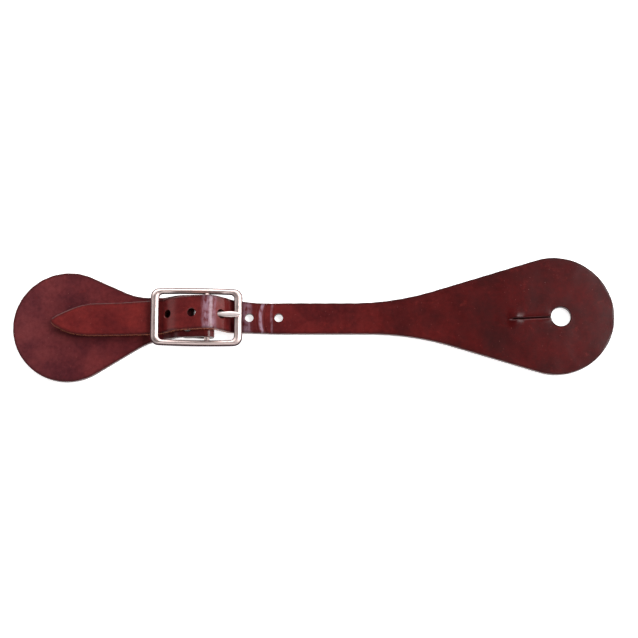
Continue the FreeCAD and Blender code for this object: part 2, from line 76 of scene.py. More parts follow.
@dataclass(frozen=True)
class RoundedPath:
    """Straight runs joined by tangent arcs, in millimetres.

    Args:
        corners: (a, b, radius) of each corner, the ends with radius 0.
        step: how far apart its traced points are.
    """

    corners: tuple[Triple, ...]
    step: float = 0.1

    def trace(self) -> tuple[Points, Points, Points]:
        """Follow the path.

        Returns:
            The distance run, the points and the heading in radians, all at even steps.
        """
        places = np.array([corner[:2] for corner in self.corners])
        runs = np.diff(places, axis=0)
        headings = np.unwrap(np.arctan2(runs[:, 1], runs[:, 0]))
        turns = np.abs(np.diff(headings))
        radii = np.array([corner[2] for corner in self.corners[1:-1]])
        tangents = np.concatenate([[0.0], radii * np.tan(turns / 2), [0.0]])
        stretches = np.zeros(2 * len(runs))
        stretches[1::2] = np.hypot(*runs.T) - tangents[:-1] - tangents[1:]
        stretches[2::2] = radii * turns
        run_at = np.cumsum(stretches)
        along = np.linspace(0.0, run_at[-1], max(2, int(run_at[-1] / self.step) + 1))
        heading = np.interp(along, run_at, np.repeat(headings, 2))
        middle = (heading[1:] + heading[:-1]) / 2
        steps = np.stack([np.cos(middle), np.sin(middle)], axis=1) * np.diff(along)[:, None]
        points = places[0] + np.vstack([[0.0, 0.0], np.cumsum(steps, axis=0)])
        return along, points, heading


def smooth_curve(points: list[Pair], step: float = 0.5) -> Points:
    """Draw a smooth curve.

    Args:
        points: (x, y) places that it passes through.
        step: about how far apart the drawn points are.

    Returns:
        The curve as a fine polyline.
    """
    knots = np.array(points, float)
    chord = run_along(knots)
    tangents = np.gradient(knots, chord, axis=0)
    out = [knots[:1]]
    for p0, p1, m0, m1, width in zip(knots, knots[1:], tangents, tangents[1:], np.diff(chord)):
        t = np.linspace(0, 1, max(2, int(width / step)) + 1)[1:, None]
        out.append(
            (2 * t**3 - 3 * t**2 + 1) * p0
            + (t**3 - 2 * t**2 + t) * width * m0
            + (3 * t**2 - 2 * t**3) * p1
            + (t**3 - t**2) * width * m1
        )
    return np.vstack(out)


def arc(centre: Pair, radius: float, start: float, end: float, step: float = 2.0) -> Points:
    """Points of an arc from the angle start to the angle end, in degrees."""
    angles = np.radians(np.linspace(start, end, max(2, int(abs(end - start) / step) + 1)))
    return np.array(centre) + radius * np.stack([np.cos(angles), np.sin(angles)], axis=1)


def touch_angle(corner: Pair, centre: Pair, radius: float, side: int) -> float:
    """Find where a line from a corner touches a circle.

    Args:
        corner: where the line starts.
        centre: the circle's centre.
        radius: its radius.
        side: 1 to touch above the circle and -1 below.

    Returns:
        The touching point as an angle round the circle, in degrees.
    """
    away = np.array(corner) - np.array(centre)
    half = math.acos(radius / np.hypot(*away))
    facing = math.atan2(away[1], away[0]) % (2 * math.pi)
    return math.degrees(facing - side * half) % 360


def edge_to_lobe(corners: list[Triple], lobe: Triple, side: int, step: float) -> Points:
    """Run a strap's edge through rounded corners until it touches the round lobe.

    Args:
        corners: (x, y, radius) of each corner before the lobe.
        lobe: the lobe's (x, y, radius).
        side: 1 for the left edge and -1 for the right one.
        step: how far apart the edge's points are.

    Returns:
        The edge, up to the point where it touches the lobe.
    """
    centre, radius = lobe[:2], lobe[2]
    angle = math.radians(touch_angle(corners[-1][:2], centre, radius, side))
    touch = (centre[0] + radius * math.cos(angle), centre[1] + radius * math.sin(angle), 0)
    return RoundedPath((*corners, touch), step).trace()[1]


def run_along(points: Points) -> Points:
    """The distance run along a polyline at each of its points."""
    return np.concatenate([[0.0], np.cumsum(np.hypot(*np.diff(points, axis=0).T))])


def smoothstep(low: float, high: float, value: Points) -> Points:
    """Rise smoothly from 0 to 1.

    Args:
        low: the value where the rise starts.
        high: the value where it ends.
        value: the values to look up.

    Returns:
        0 below low, 1 above high and smooth between.
    """
    t = np.clip((value - low) / (high - low), 0, 1)
    return t * t * (3 - 2 * t)


# ---- mesh helpers


def deselect_all() -> None:
    """Leave nothing selected, in object mode."""
    if bpy.context.mode != "OBJECT":
        bpy.ops.object.mode_set(mode="OBJECT")
    bpy.ops.object.select_all(action="DESELECT")


def shaped_grid(name: str, points: Points) -> Piece:
    """A grid primitive whose vertices take the given places, with its seams merged and its faces outward.

    Args:
        name: the object's name.
        points: places in millimetres, rows by columns by 3.

    Returns:
        The new mesh object.
    """
    rows, columns = points.shape[:2]
    deselect_all()
    bpy.ops.mesh.primitive_grid_add(x_subdivisions=columns - 1, y_subdivisions=rows - 1, size=1)
    piece = bpy.context.object
    piece.name = piece.data.name = name
    piece.data.vertices.foreach_set("co", (points.reshape(-1, 3) * MM).ravel())
    bpy.ops.object.mode_set(mode="EDIT")
    bpy.ops.mesh.select_all(action="SELECT")
    bpy.ops.mesh.remove_doubles(threshold=0.004 * MM)
    bpy.ops.mesh.normals_make_consistent(inside=False)
    bpy.ops.object.mode_set(mode="OBJECT")
    return piece


def modify(piece: Piece, kind: str, **settings: object) -> None:
    """Add one modifier to a piece and apply it.

    Args:
        piece: the mesh object.
        kind: the modifier's type.
        settings: the modifier's own properties.
    """
    deselect_all()
    piece.select_set(True)
    bpy.context.view_layer.objects.active = piece
    modifier = piece.modifiers.new(kind.title(), kind)
    for key, value in settings.items():
        setattr(modifier, key, value)
    bpy.ops.object.modifier_apply(modifier=modifier.name)


def turned(name: str, rings: list[Pair], vertices: int = 48) -> Piece:
    """A turned solid on the Z axis, extruded ring by ring from a filled circle.

    Args:
        name: the object's name.
        rings: (radius, height) pairs in millimetres, from the bottom up.
        vertices: how many sides it has.

    Returns:
        The new mesh object.
    """
    deselect_all()
    radius, height = rings[0]
    bpy.ops.mesh.primitive_circle_add(
        vertices=vertices, radius=radius * MM, fill_type="NGON", location=(0, 0, height * MM)
    )
    piece = bpy.context.object
    piece.name = piece.data.name = name
    bpy.ops.object.transform_apply(location=True, rotation=True, scale=True)
    bpy.ops.object.mode_set(mode="EDIT")
    for wider, higher in rings[1:]:
        rise = (0, 0, (higher - height) * MM)
        bpy.ops.mesh.extrude_region_move(TRANSFORM_OT_translate={"value": rise})
        scale = wider / radius
        bpy.ops.transform.resize(value=(scale, scale, 1), center_override=(0, 0, higher * MM))
        radius, height = wider, higher
    bpy.ops.mesh.select_all(action="SELECT")
    bpy.ops.mesh.normals_make_consistent(inside=False)
    bpy.ops.object.mode_set(mode="OBJECT")
    return piece


def box_cutter(middle: Triple, size: Triple) -> Piece:
    """Make a box that cuts a slot.

    Args:
        middle: the box's middle in millimetres.
        size: its size in millimetres.

    Returns:
        The box, with its object at the origin.
    """
    deselect_all()
    bpy.ops.mesh.primitive_cube_add(size=1, location=Vector(middle) * MM, scale=Vector(size) * MM)
    bpy.ops.object.transform_apply(location=True, rotation=True, scale=True)
    return bpy.context.object


def place(piece: Piece, matrix: Matrix) -> None:
    """Move a piece's mesh, and leave its object at the origin."""
    piece.data.transform(matrix)
    piece.data.update()


def smooth(piece: Piece, degrees: float) -> None:
    """Shade a piece smooth.

    Args:
        piece: the mesh object.
        degrees: edges sharper than this stay sharp.
    """
    deselect_all()
    piece.select_set(True)
    bpy.context.view_layer.objects.active = piece
    bpy.ops.object.shade_smooth_by_angle(angle=math.radians(degrees))


def punch(piece: Piece, cutter: Piece) -> None:
    """Cut one closed shape out of a piece and throw the cutter away."""
    modify(piece, "BOOLEAN", operation="DIFFERENCE", solver="EXACT", object=cutter)
    bpy.data.objects.remove(cutter)


def vertex_places(piece: Piece) -> Points:
    """A mesh's vertices in millimetres.

    Args:
        piece: the mesh object.

    Returns:
        One (x, y, z) for each vertex.
    """
    flat = np.empty(len(piece.data.vertices) * 3)
    piece.data.vertices.foreach_get("co", flat)
    return flat.reshape(-1, 3) / MM


def set_vertex_places(piece: Piece, places: Points) -> None:
    """Set a mesh's vertices, given in millimetres."""
    piece.data.vertices.foreach_set("co", (places * MM).ravel())
    piece.data.update()


def set_attribute(piece: Piece, name: str, values: Points) -> None:
    """Give a mesh a number at each vertex, for its material."""
    made = piece.data.attributes.new(name, "FLOAT", "POINT")
    made.data.foreach_set("value", values.astype(np.float32))


# ---- finishes


class Nodes:
    """A short way to write a material's node tree."""

    def __init__(self, name: str) -> None:
        """Start a material with only its output.

        Args:
            name: the material's name.
        """
        self.material = bpy.data.materials.new(name)
        self.material.use_nodes = True
        self.tree = self.material.node_tree
        self.tree.nodes.clear()
        self.output = self.tree.nodes.new("ShaderNodeOutputMaterial")

    def add(
        self, kind: str, inputs: dict[str | int, object] | None = None, **settings: object
    ) -> bpy.types.Node:
        """Add a node.

        Args:
            kind: the node's type without its "ShaderNode" start.
            inputs: socket names or numbers to values or to output sockets.
            settings: the node's own properties.

        Returns:
            The new node.
        """
        node = self.tree.nodes.new("ShaderNode" + kind)
        for key, value in settings.items():
            setattr(node, key, value)
        for key, value in (inputs or {}).items():
            if isinstance(value, Socket):
                self.tree.links.new(value, node.inputs[key])
            else:
                node.inputs[key].default_value = value
        return node

    def maths(self, operation: str, a: object, b: object = 0.0, clamp: bool = False) -> Socket:
        """One Math node's result."""
        return self.add("Math", {0: a, 1: b}, operation=operation, use_clamp=clamp).outputs[0]

    def times(self, a: object, b: object) -> Socket:
        """Two values multiplied."""
        return self.maths("MULTIPLY", a, b)

    def plus(self, a: object, b: object) -> Socket:
        """Two values added."""
        return self.maths("ADD", a, b)

    def minus(self, a: object, b: object) -> Socket:
        """The second value taken from the first."""
        return self.maths("SUBTRACT", a, b)

    def spread(self, value: object, low: float, high: float, to: Pair = (0, 1)) -> Socket:
        """A value's smooth rise between two limits."""
        inputs = {"Value": value, "From Min": low, "From Max": high, "To Min": to[0], "To Max": to[1]}
        return self.add("MapRange", inputs, interpolation_type="SMOOTHSTEP").outputs["Result"]

    def mix(self, factor: object, a: object, b: object, blend: str = "MIX") -> Socket:
        """A mix of two colours."""
        node = self.add("Mix", {0: factor, 6: a, 7: b}, data_type="RGBA", blend_type=blend)
        return node.outputs[2]

    def noise(self, vector: object, scale: float, detail: float = 3.0, rough: float = 0.5) -> Socket:
        """A noise pattern's value."""
        inputs = {"Vector": vector, "Scale": scale, "Detail": detail, "Roughness": rough}
        return self.add("TexNoise", inputs).outputs[0]

    def number(self, name: str) -> Socket:
        """A number kept on the mesh."""
        return self.add("Attribute", attribute_name=name).outputs["Fac"]

    def surface(self, inputs: dict[str, object]) -> Material:
        """Close the tree with its shader and give the material.

        Args:
            inputs: the shader's sockets to values or to output sockets.

        Returns:
            The finished material.
        """
        shader = self.add("BsdfPrincipled", inputs)
        self.tree.links.new(shader.outputs[0], self.output.inputs[0])
        return self.material


def rgba(red: float, green: float, blue: float) -> Four:
    """A colour given as display values, made linear."""
    linear = [c / 12.92 if c <= 0.04045 else ((c + 0.055) / 1.055) ** 2.4 for c in (red, green, blue)]
    return (*linear, 1.0)


@dataclass(frozen=True)
class OiledLeather:
    """Oxblood leather with a glossy grain side, burnished edges and a rough flesh side.

    Args:
        name: the material's name.
        tones_and_sheen: (place along the strap in millimetres, colour) pairs, from one end to the other; the
            leather's own tone, partly a painted sheen that lightens it towards one end.
        seed: where in the patterns this piece starts.
        raw_edge: (from, to) places along the strap between which its cut edge turns from raw to burnished.
        painted_highlights: (place, half width, strength, bow) of each painted highlight, a pale blotchy band
            across the strap.
        creases: (place, half width, bow) of each crease across the strap.
        burnish: the colour of its burnished edge.
        raw: the colour of its raw edge.
        flesh: the colour of its flesh side.
        worn: the colour where the grain is rubbed.
        fleck: the colour of its small pale flecks.
        highlight_colour: the colour of the painted highlights.
        cut: the colour of the painted shade beside its button hole and slit, standing in for the shade in
            their openings.
    """

    name: str
    tones_and_sheen: tuple[tuple[float, Triple], ...]
    seed: float
    raw_edge: Pair = (500.0, 600.0)
    painted_highlights: tuple[Four, ...] = ()
    creases: tuple[Triple, ...] = ()
    burnish: Triple = (0.20, 0.065, 0.07)
    raw: Triple = (0.62, 0.36, 0.27)
    flesh: Triple = (0.42, 0.26, 0.19)
    worn: Triple = (0.55, 0.16, 0.14)
    fleck: Triple = (0.70, 0.42, 0.39)
    highlight_colour: Triple = (0.82, 0.70, 0.78)
    cut: Triple = (0.13, 0.04, 0.045)

    def grain_colour(
        self, nodes: Nodes, place_mm: object, along: object, across: object, rim: object
    ) -> Socket:
        """The grain side: the tones along the strap with their painted sheen, mottled, rubbed, speckled, with
        painted highlight bands, dark at the rim and with painted shade beside the cuts.

        Args:
            nodes: the tree to add to.
            place_mm: the flat place in millimetres.
            along: the place along the strap.
            across: the place across it.
            rim: the distance from the outline.

        Returns:
            The colour.
        """
        # The tone ramp is the leather's own colour, partly a painted sheen that lightens it towards one end.
        first, last = self.tones_and_sheen[0][0], self.tones_and_sheen[-1][0]
        part = nodes.maths("DIVIDE", nodes.minus(along, first), last - first, clamp=True)
        ramp = nodes.add("ValToRGB", {0: part})
        stops = ramp.color_ramp.elements
        while len(stops) < len(self.tones_and_sheen):
            stops.new(0.5)
        for stop, (at, tone) in zip(stops, self.tones_and_sheen):
            stop.position = (at - first) / (last - first)
            stop.color = rgba(*tone)
        cloudy = nodes.spread(nodes.noise(place_mm, 0.05, 4.0, 0.6), 0.3, 0.7)
        mottle = nodes.spread(nodes.noise(place_mm, 0.5, 5.0, 0.65), 0.25, 0.75)
        clouds = nodes.mix(cloudy, (0.70, 0.60, 0.66, 1), (1.40, 1.28, 1.10, 1))
        colour = nodes.mix(1.0, ramp.outputs[0], clouds, "MULTIPLY")
        mottled = nodes.mix(mottle, (0.68, 0.62, 0.62, 1), (1.35, 1.3, 1.25, 1))
        colour = nodes.mix(0.5, colour, mottled, "MULTIPLY")
        pores = nodes.add("TexVoronoi", {"Vector": place_mm, "Scale": 1.9}).outputs["Distance"]
        pitted = nodes.spread(pores, 0.05, 0.3, (0.55, 0.0))
        colour = nodes.mix(pitted, colour, (0.35, 0.3, 0.3, 1), "MULTIPLY")
        worn = nodes.spread(nodes.noise(place_mm, 0.16, 6.0, 0.7), 0.56, 0.78, (0.0, 0.35))
        colour = nodes.mix(worn, colour, rgba(*self.worn))
        fleck = nodes.spread(nodes.noise(place_mm, 1.3, 2.0, 0.4), 0.71, 0.79, (0.0, 0.40))
        colour = nodes.mix(fleck, colour, rgba(*self.fleck))
        streaky = nodes.add("Mapping", {"Vector": place_mm, "Scale": (0.75, 0.28, 1)}).outputs[0]
        highlight_blotches = nodes.spread(nodes.noise(streaky, 1.0, 3.0, 0.5), 0.28, 0.62)
        # Painted highlights: pale blotchy bands across the strap, standing in for the gloss on its bends and
        # creases.
        for at, half, strength, bow in self.painted_highlights:
            line = nodes.maths("ABSOLUTE", self.bowed(nodes, along, across, at, bow))
            near = nodes.spread(line, 0.25 * half, half, (strength, 0.0))
            colour = nodes.mix(nodes.times(near, highlight_blotches), colour, rgba(*self.highlight_colour))
        edge = nodes.spread(nodes.plus(rim, nodes.noise(place_mm, 0.8)), 0.7, 2.2, (0.6, 0.0))
        colour = nodes.mix(edge, colour, rgba(*self.burnish))
        # Painted shade: the grain darkens just beside the button hole and slit, standing in for the shade in
        # their narrow openings.
        cut = nodes.spread(nodes.number("cut"), 0.15, 0.6, (0.85, 0.0))
        return nodes.mix(cut, colour, rgba(*self.cut))

    def bowed(self, nodes: Nodes, along: object, across: object, at: float, bow: float) -> Socket:
        """The distance along the strap from a line across it that bows by bow at its ends."""
        squared = nodes.times(nodes.times(across, across), bow / 64)
        return nodes.minus(nodes.minus(along, at), squared)

    def folds(self, nodes: Nodes, along: object, across: object) -> Socket:
        """The bowed creases across the strap, as a depth from 0 to 1.

        Args:
            nodes: the tree to add to.
            along: the place along the strap.
            across: the place across it.

        Returns:
            The depth.
        """
        total = nodes.times(along, 0.0)
        for at, half, bow in self.creases:
            line = nodes.maths("ABSOLUTE", self.bowed(nodes, along, across, at, bow))
            total = nodes.plus(total, nodes.spread(line, 0.0, half, (1.0, 0.0)))
        return total

    def height(self, nodes: Nodes, place_mm: object) -> Socket:
        """The relief of the grain: pebbles, fine pores, soft lumps and a few long scratches.

        Args:
            nodes: the tree to add to.
            place_mm: the flat place in millimetres.

        Returns:
            The height for the bump.
        """
        cells = nodes.add("TexVoronoi", {"Vector": place_mm, "Scale": 1.5}, feature="SMOOTH_F1")
        pebbles = cells.outputs["Distance"]
        fine = nodes.noise(place_mm, 3.2, 4.0, 0.6)
        lumps = nodes.noise(place_mm, 0.33, 4.0, 0.55)
        slanted = {"Vector": place_mm, "Rotation": (0, 0, 0.5), "Scale": (0.12, 2.2, 1)}
        stretched = nodes.add("Mapping", slanted).outputs[0]
        scratches = nodes.spread(nodes.noise(stretched, 1.0, 3.0, 0.5), 0.60, 0.72)
        total = nodes.plus(nodes.times(pebbles, 0.10), nodes.times(fine, 0.07))
        total = nodes.plus(total, nodes.times(lumps, 0.35))
        return nodes.minus(total, nodes.times(scratches, 0.05))

    def make(self) -> Material:
        """Build the material.

        Returns:
            Leather that reads the mesh's flat UV map and its rim, cut and depth numbers.
        """
        nodes = Nodes(self.name)
        flat = nodes.add("UVMap", uv_map="flat").outputs["UV"]
        flat = nodes.add("VectorMath", {0: flat, 1: (100.0, 100.0, 0.0)}, operation="MULTIPLY").outputs[0]
        place_mm = nodes.add("VectorMath", {0: flat, 1: (self.seed, 0.4 * self.seed, 0.0)}).outputs[0]
        split = nodes.add("SeparateXYZ", {0: flat}).outputs
        along, across = split[0], split[1]
        rim, depth = nodes.number("rim"), nodes.number("depth")
        grain = self.grain_colour(nodes, place_mm, along, across, rim)
        fibre = nodes.noise(nodes.add("TexCoord").outputs["Object"], 1100.0, 5.0, 0.7)
        raw = nodes.spread(along, *self.raw_edge, (1.0, 0.0))
        raw = nodes.times(raw, nodes.spread(across, -3, 0, (1.0, 0.0)))
        raw = nodes.times(raw, nodes.spread(rim, 0.6, 1.4, (1.0, 0.0)))
        streaks = nodes.times(nodes.spread(fibre, 0.40, 0.52), nodes.plus(nodes.times(raw, 0.85), 0.1))
        wall = nodes.mix(streaks, rgba(*self.burnish), rgba(*self.raw))
        shaded_flesh = rgba(*[0.72 * c for c in self.flesh])
        flesh = nodes.mix(nodes.spread(fibre, 0.3, 0.7), rgba(*self.flesh), shaded_flesh)
        on_wall = nodes.spread(depth, 0.62, 0.93, (1.0, 0.0))
        on_flesh = nodes.spread(depth, -0.97, -0.9, (1.0, 0.0))
        colour = nodes.mix(on_flesh, nodes.mix(on_wall, grain, wall), flesh)
        sheen = nodes.spread(nodes.noise(place_mm, 0.25, 4.0, 0.6), 0.3, 0.7, (0.34, 0.52))
        rough = nodes.plus(sheen, nodes.times(on_wall, 0.22))
        rough = nodes.plus(rough, nodes.times(on_flesh, 0.3))
        folds = nodes.times(self.folds(nodes, along, across), 1.4)
        relief = nodes.minus(self.height(nodes, place_mm), folds)
        bump = nodes.add("Bump", {"Height": relief, "Strength": 0.6, "Distance": 0.35 * MM})
        inputs = {"Base Color": colour, "Roughness": rough, "Normal": bump.outputs[0]}
        inputs |= {"Coat Weight": 0.52, "Coat Roughness": 0.2, "Specular IOR Level": 0.07}
        return nodes.surface(inputs)


@dataclass(frozen=True)
class NickelPlate:
    """Bright plate with a soft unevenness, hairline rubs and a painted dark reflection on its flanks.

    Args:
        name: the material's name.
        tint: the metal's colour.
        polish: its roughness where it is bright.
        flank_reflection: the colour of the painted dark reflection on its flanks.
    """

    name: str
    tint: Triple
    polish: float
    flank_reflection: Triple = (0.26, 0.16, 0.19)

    def make(self) -> Material:
        """Build the material.

        Returns:
            Plate with a painted dark reflection where the mesh's flank number is 1.
        """
        nodes = Nodes(self.name)
        place_m = nodes.add("TexCoord").outputs["Object"]
        haze = nodes.noise(place_m, 160.0, 4.0, 0.6)
        stretched = nodes.add("Mapping", {"Vector": place_m, "Scale": (300.0, 2600.0, 2600.0)}).outputs[0]
        rubs = nodes.noise(stretched, 1.0, 3.0, 0.6)
        dull = nodes.spread(haze, 0.45, 0.75, (0.0, 0.45))
        colour = nodes.mix(dull, rgba(*self.tint), rgba(*[0.82 * c for c in self.tint]))
        # Painted dark reflection: the flanks below the crown turn dark and rougher, standing in for the dark
        # leather mirrored in them.
        flank_reflection = nodes.times(nodes.number("flank"), nodes.spread(haze, 0.2, 0.7, (1.0, 0.96)))
        colour = nodes.mix(flank_reflection, colour, rgba(*self.flank_reflection))
        rough = nodes.spread(haze, 0.3, 0.8, (self.polish, self.polish + 0.14))
        rough = nodes.plus(rough, nodes.times(flank_reflection, 0.5))
        rough = nodes.plus(rough, nodes.times(rubs, 0.05))
        height = nodes.plus(nodes.times(haze, 0.6), nodes.times(rubs, 0.12))
        bump = nodes.add("Bump", {"Height": height, "Strength": 0.07, "Distance": 0.1 * MM})
        inputs = {"Base Color": colour, "Metallic": 1.0, "Roughness": rough, "Normal": bump.outputs[0]}
        return nodes.surface(inputs)


def dress(piece: Piece, material: Material) -> None:
    """Make one material a piece's only one."""
    piece.data.materials.clear()
    piece.data.materials.append(material)


def set_in(piece: Piece, material: Material, degrees: float, body: str, node: str) -> Piece:
    """Dress a rigid piece and put it in place of its CAD node.

    Args:
        piece: the finished mesh.
        material: its finish.
        degrees: edges sharper than this stay sharp.
        body: the body that it rides on.
        node: the CAD node that it stands for.

    Returns:
        The same piece.
    """
    dress(piece, material)
    smooth(piece, degrees)
    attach(piece, body)
    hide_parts(node)
    return piece


# Painted sheen: the long strap's tones lighten from its lobe towards the billet's tip.
LONG_LEATHER = OiledLeather(
    "oxblood_long",
    (
        (-133.0, (0.415, 0.135, 0.140)),
        (-60.0, (0.385, 0.125, 0.130)),
        (-15.0, (0.350, 0.100, 0.110)),
        (35.0, (0.300, 0.065, 0.070)),
        (90.0, (0.245, 0.010, 0.015)),
        (153.0, (0.265, 0.012, 0.020)),
    ),
    seed=3.0,
    raw_edge=(-48.0, -30.0),
    # Painted highlights on the billet's crest, its toe and the creases by the buckle.
    painted_highlights=((-57.4, 4.2, 0.38, 0.3), (-34.0, 3.2, 0.27, 0.0), (-27.2, 1.3, 0.5, 1.6), (-21.5, 1.0, 0.15, 0.6)),
    creases=((-29.2, 0.5, 1.4), (-25.4, 0.6, 1.6), (-21.0, 0.4, 0.6), (-47.5, 0.4, 0.8)),
)
# Painted sheen: the short strap's tones lighten towards its lobe.
SHORT_LEATHER = OiledLeather(
    "oxblood_short",
    ((0.0, (0.33, 0.10, 0.11)), (60.0, (0.35, 0.125, 0.145)), (118.0, (0.370, 0.170, 0.195))),
    seed=61.0,
)
NICKEL = NickelPlate("nickel_plate", (0.96, 0.87, 0.85), 0.29)
TONGUE_PLATE = NickelPlate("tongue_plate", (0.97, 0.91, 0.90), 0.4)
SCREW_PLATE = NickelPlate("screw_plate", (0.80, 0.79, 0.78), 0.22)


# ---- the buckle's stack of leather


def centre_of(node: str) -> Vector:
    """The middle of a CAD node's box, in millimetres."""
    low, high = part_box(node)
    return (low + high) / 2 / MM


@dataclass(frozen=True)
class Stack:
    """How the two straps lie over and under each other at the buckle, in millimetres."""

    leather: float = 3.0
    fold_leather: float = 2.2
    layer_gap: float = 0.2
    bar_radius: float = 1.4
    bar_play: float = 0.3
    frame_tilt: float = 3.74
    crest_slope: float = 7.2
    steep_slope: float = 50.0
    pinch_back: float = 6.4
    shoulder_back: float = 13.8
    tab_back: float = 12.8
    ear_foot: float = -75.7
    tip_x: float = -133.6
    tip_lift: float = 1.6
    bar: Vector = field(default_factory=lambda: centre_of("centre_bar"))

    @property
    def bench(self) -> float:
        """Height of the middle of a strap that lies on the bench."""
        return self.leather / 2

    @property
    def fold_radius(self) -> float:
        """Radius of the fold's middle line round the centre bar."""
        return self.bar_radius + self.bar_play + self.fold_leather / 2

    @property
    def tab_height(self) -> float:
        """Height of the turn-back's middle line off the centre bar, along the crest's normal."""
        return self.fold_radius - self.fold_leather - self.layer_gap / 2

    def by_crest(self, along: float, up: float) -> Pair:
        """A point (x, z), from its distance from the centre bar along the crest's slope and its height.

        Args:
            along: the distance from the bar.
            up: the height.

        Returns:
            The point.
        """
        slope = math.radians(self.crest_slope)
        return (
            self.bar.x + along * math.cos(slope) - up * math.sin(slope),
            self.bar.z + along * math.sin(slope) + up * math.cos(slope),
        )

    def fold_corners(self) -> list[Triple]:
        """The buckle strap's corners, from the end of its turn-back to its lobe's side.

        Returns:
            (x, z, bend radius) of each corner.
        """
        radius, pinch = self.fold_radius, self.tab_height
        rise = math.atan2(pinch, self.pinch_back)
        rise += math.asin(radius / math.hypot(pinch, self.pinch_back))
        low = pinch - math.tan(rise) * (radius + self.pinch_back)
        return [
            (*self.by_crest(-self.tab_back, pinch), 0),
            (*self.by_crest(-self.pinch_back, pinch), 3),
            (*self.by_crest(radius, low), radius),
            (*self.by_crest(radius, radius), radius),
            (*self.by_crest(-self.shoulder_back, radius), 4),
            (self.ear_foot, self.bench, 6),
            (-170.0, self.bench, 0),
        ]

    def on_top(self, corner: int, distance: float) -> Pair:
        """The corner of a path that runs above the fold's.

        Args:
            corner: which of the fold's corners it is.
            distance: how far above the fold's path it runs.

        Returns:
            The corner's (x, z).
        """
        corners = [Vector(c[:2]) for c in self.fold_corners()]
        back = (corners[corner] - corners[corner - 1]).normalized()
        ahead = (corners[corner + 1] - corners[corner]).normalized()
        along = (back + ahead).normalized()
        offset = distance / math.cos(back.angle(ahead) / 2)
        return corners[corner].x + along.y * offset, corners[corner].y - along.x * offset

    def billet_corners(self, far: float) -> list[Triple]:
        """The long strap's corners in side view.

        Args:
            far: where the path ends on the bench, beyond the lobe.

        Returns:
            (x, z, bend radius) of each corner, from the tip on.
        """
        over_fold = self.fold_radius + self.fold_leather / 2 + self.layer_gap + self.leather / 2
        over_ear = self.leather + self.layer_gap
        steep = math.radians(self.steep_slope)
        start = Vector((self.bar.x + over_fold * math.sin(steep), self.bar.z + over_fold * math.cos(steep)))
        crest = Vector(self.by_crest(0, over_fold))
        rise = math.tan(math.radians(self.crest_slope))
        crest_x = start.y - crest.y + rise * crest.x + math.tan(steep) * start.x
        crest_x /= rise + math.tan(steep)
        toe_z = self.bench + 0.5
        return [
            (self.tip_x, self.bench + over_ear + self.tip_lift, 0),
            (-112.0, self.bench + over_ear, 60),
            (*self.on_top(5, over_ear), 4.5),
            (*self.on_top(4, over_fold - self.fold_radius), 6.5),
            (crest_x, crest.y + rise * (crest_x - crest.x), over_fold),
            (start.x + (start.y - toe_z) / math.tan(steep), toe_z, 4.5),
            (-27.0, self.bench, 40),
            (far, self.bench, 0),
        ]


# ---- straps


@dataclass(frozen=True)
class Keyhole:
    """A button hole with its knife slit, which runs back from the hole along -x.

    Args:
        centre: the hole's centre in the strap's plan.
        turn: the slit's turn from the x axis, in degrees.
        radius: the hole's radius.
        slit_length: how far the slit runs from the hole's edge.
        slack: how far the slit stands open to each side.
        gape: how much wider it gapes at one place.
        gape_at: where that is, as a part of the slit's length.
    """

    centre: Pair
    turn: float
    radius: float = 5.0
    slit_length: float = 19.4
    slack: float = 0.03
    gape: float = 0.08
    gape_at: float = 0.26
    LIP_POINTS: ClassVar[int] = 60

    def along_slit(self, back: Points, side: Points) -> Points:
        """Points, from their distance back from the hole's centre and their distance to one side.

        Args:
            back: distances back from the centre.
            side: distances to the left.

        Returns:
            The points in plan.
        """
        turn = math.radians(self.turn)
        x, y = -back, side
        return np.array(self.centre) + np.stack(
            [x * math.cos(turn) - y * math.sin(turn), x * math.sin(turn) + y * math.cos(turn)], axis=1
        )

    @property
    def slit_end(self) -> Points:
        """Where the slit ends."""
        return self.along_slit(np.array([self.radius + self.slit_length]), np.array([0.0]))[0]

    def lip(self, side: int) -> Points:
        """Draw one lip of the slit and half of the hole.

        Args:
            side: 1 for the left lip and -1 for the right one.

        Returns:
            The line from the slit's end to the hole's far side.
        """
        part = np.linspace(0, 1, self.LIP_POINTS)
        opening = self.slack * smoothstep(0, 0.08, part)
        opening += self.gape * np.exp(-(((part - self.gape_at) / 0.12) ** 2))
        opening[0] = 0.0
        back = self.radius + self.slit_length * (1 - part)
        lip = self.along_slit(back, side * opening)
        start = 180 - math.degrees(math.asin(opening[-1] / self.radius))
        angles = np.radians(np.linspace(start, 0, 50)[1:])
        ring = self.along_slit(-self.radius * np.cos(angles), side * self.radius * np.sin(angles))
        return np.vstack([lip, ring])


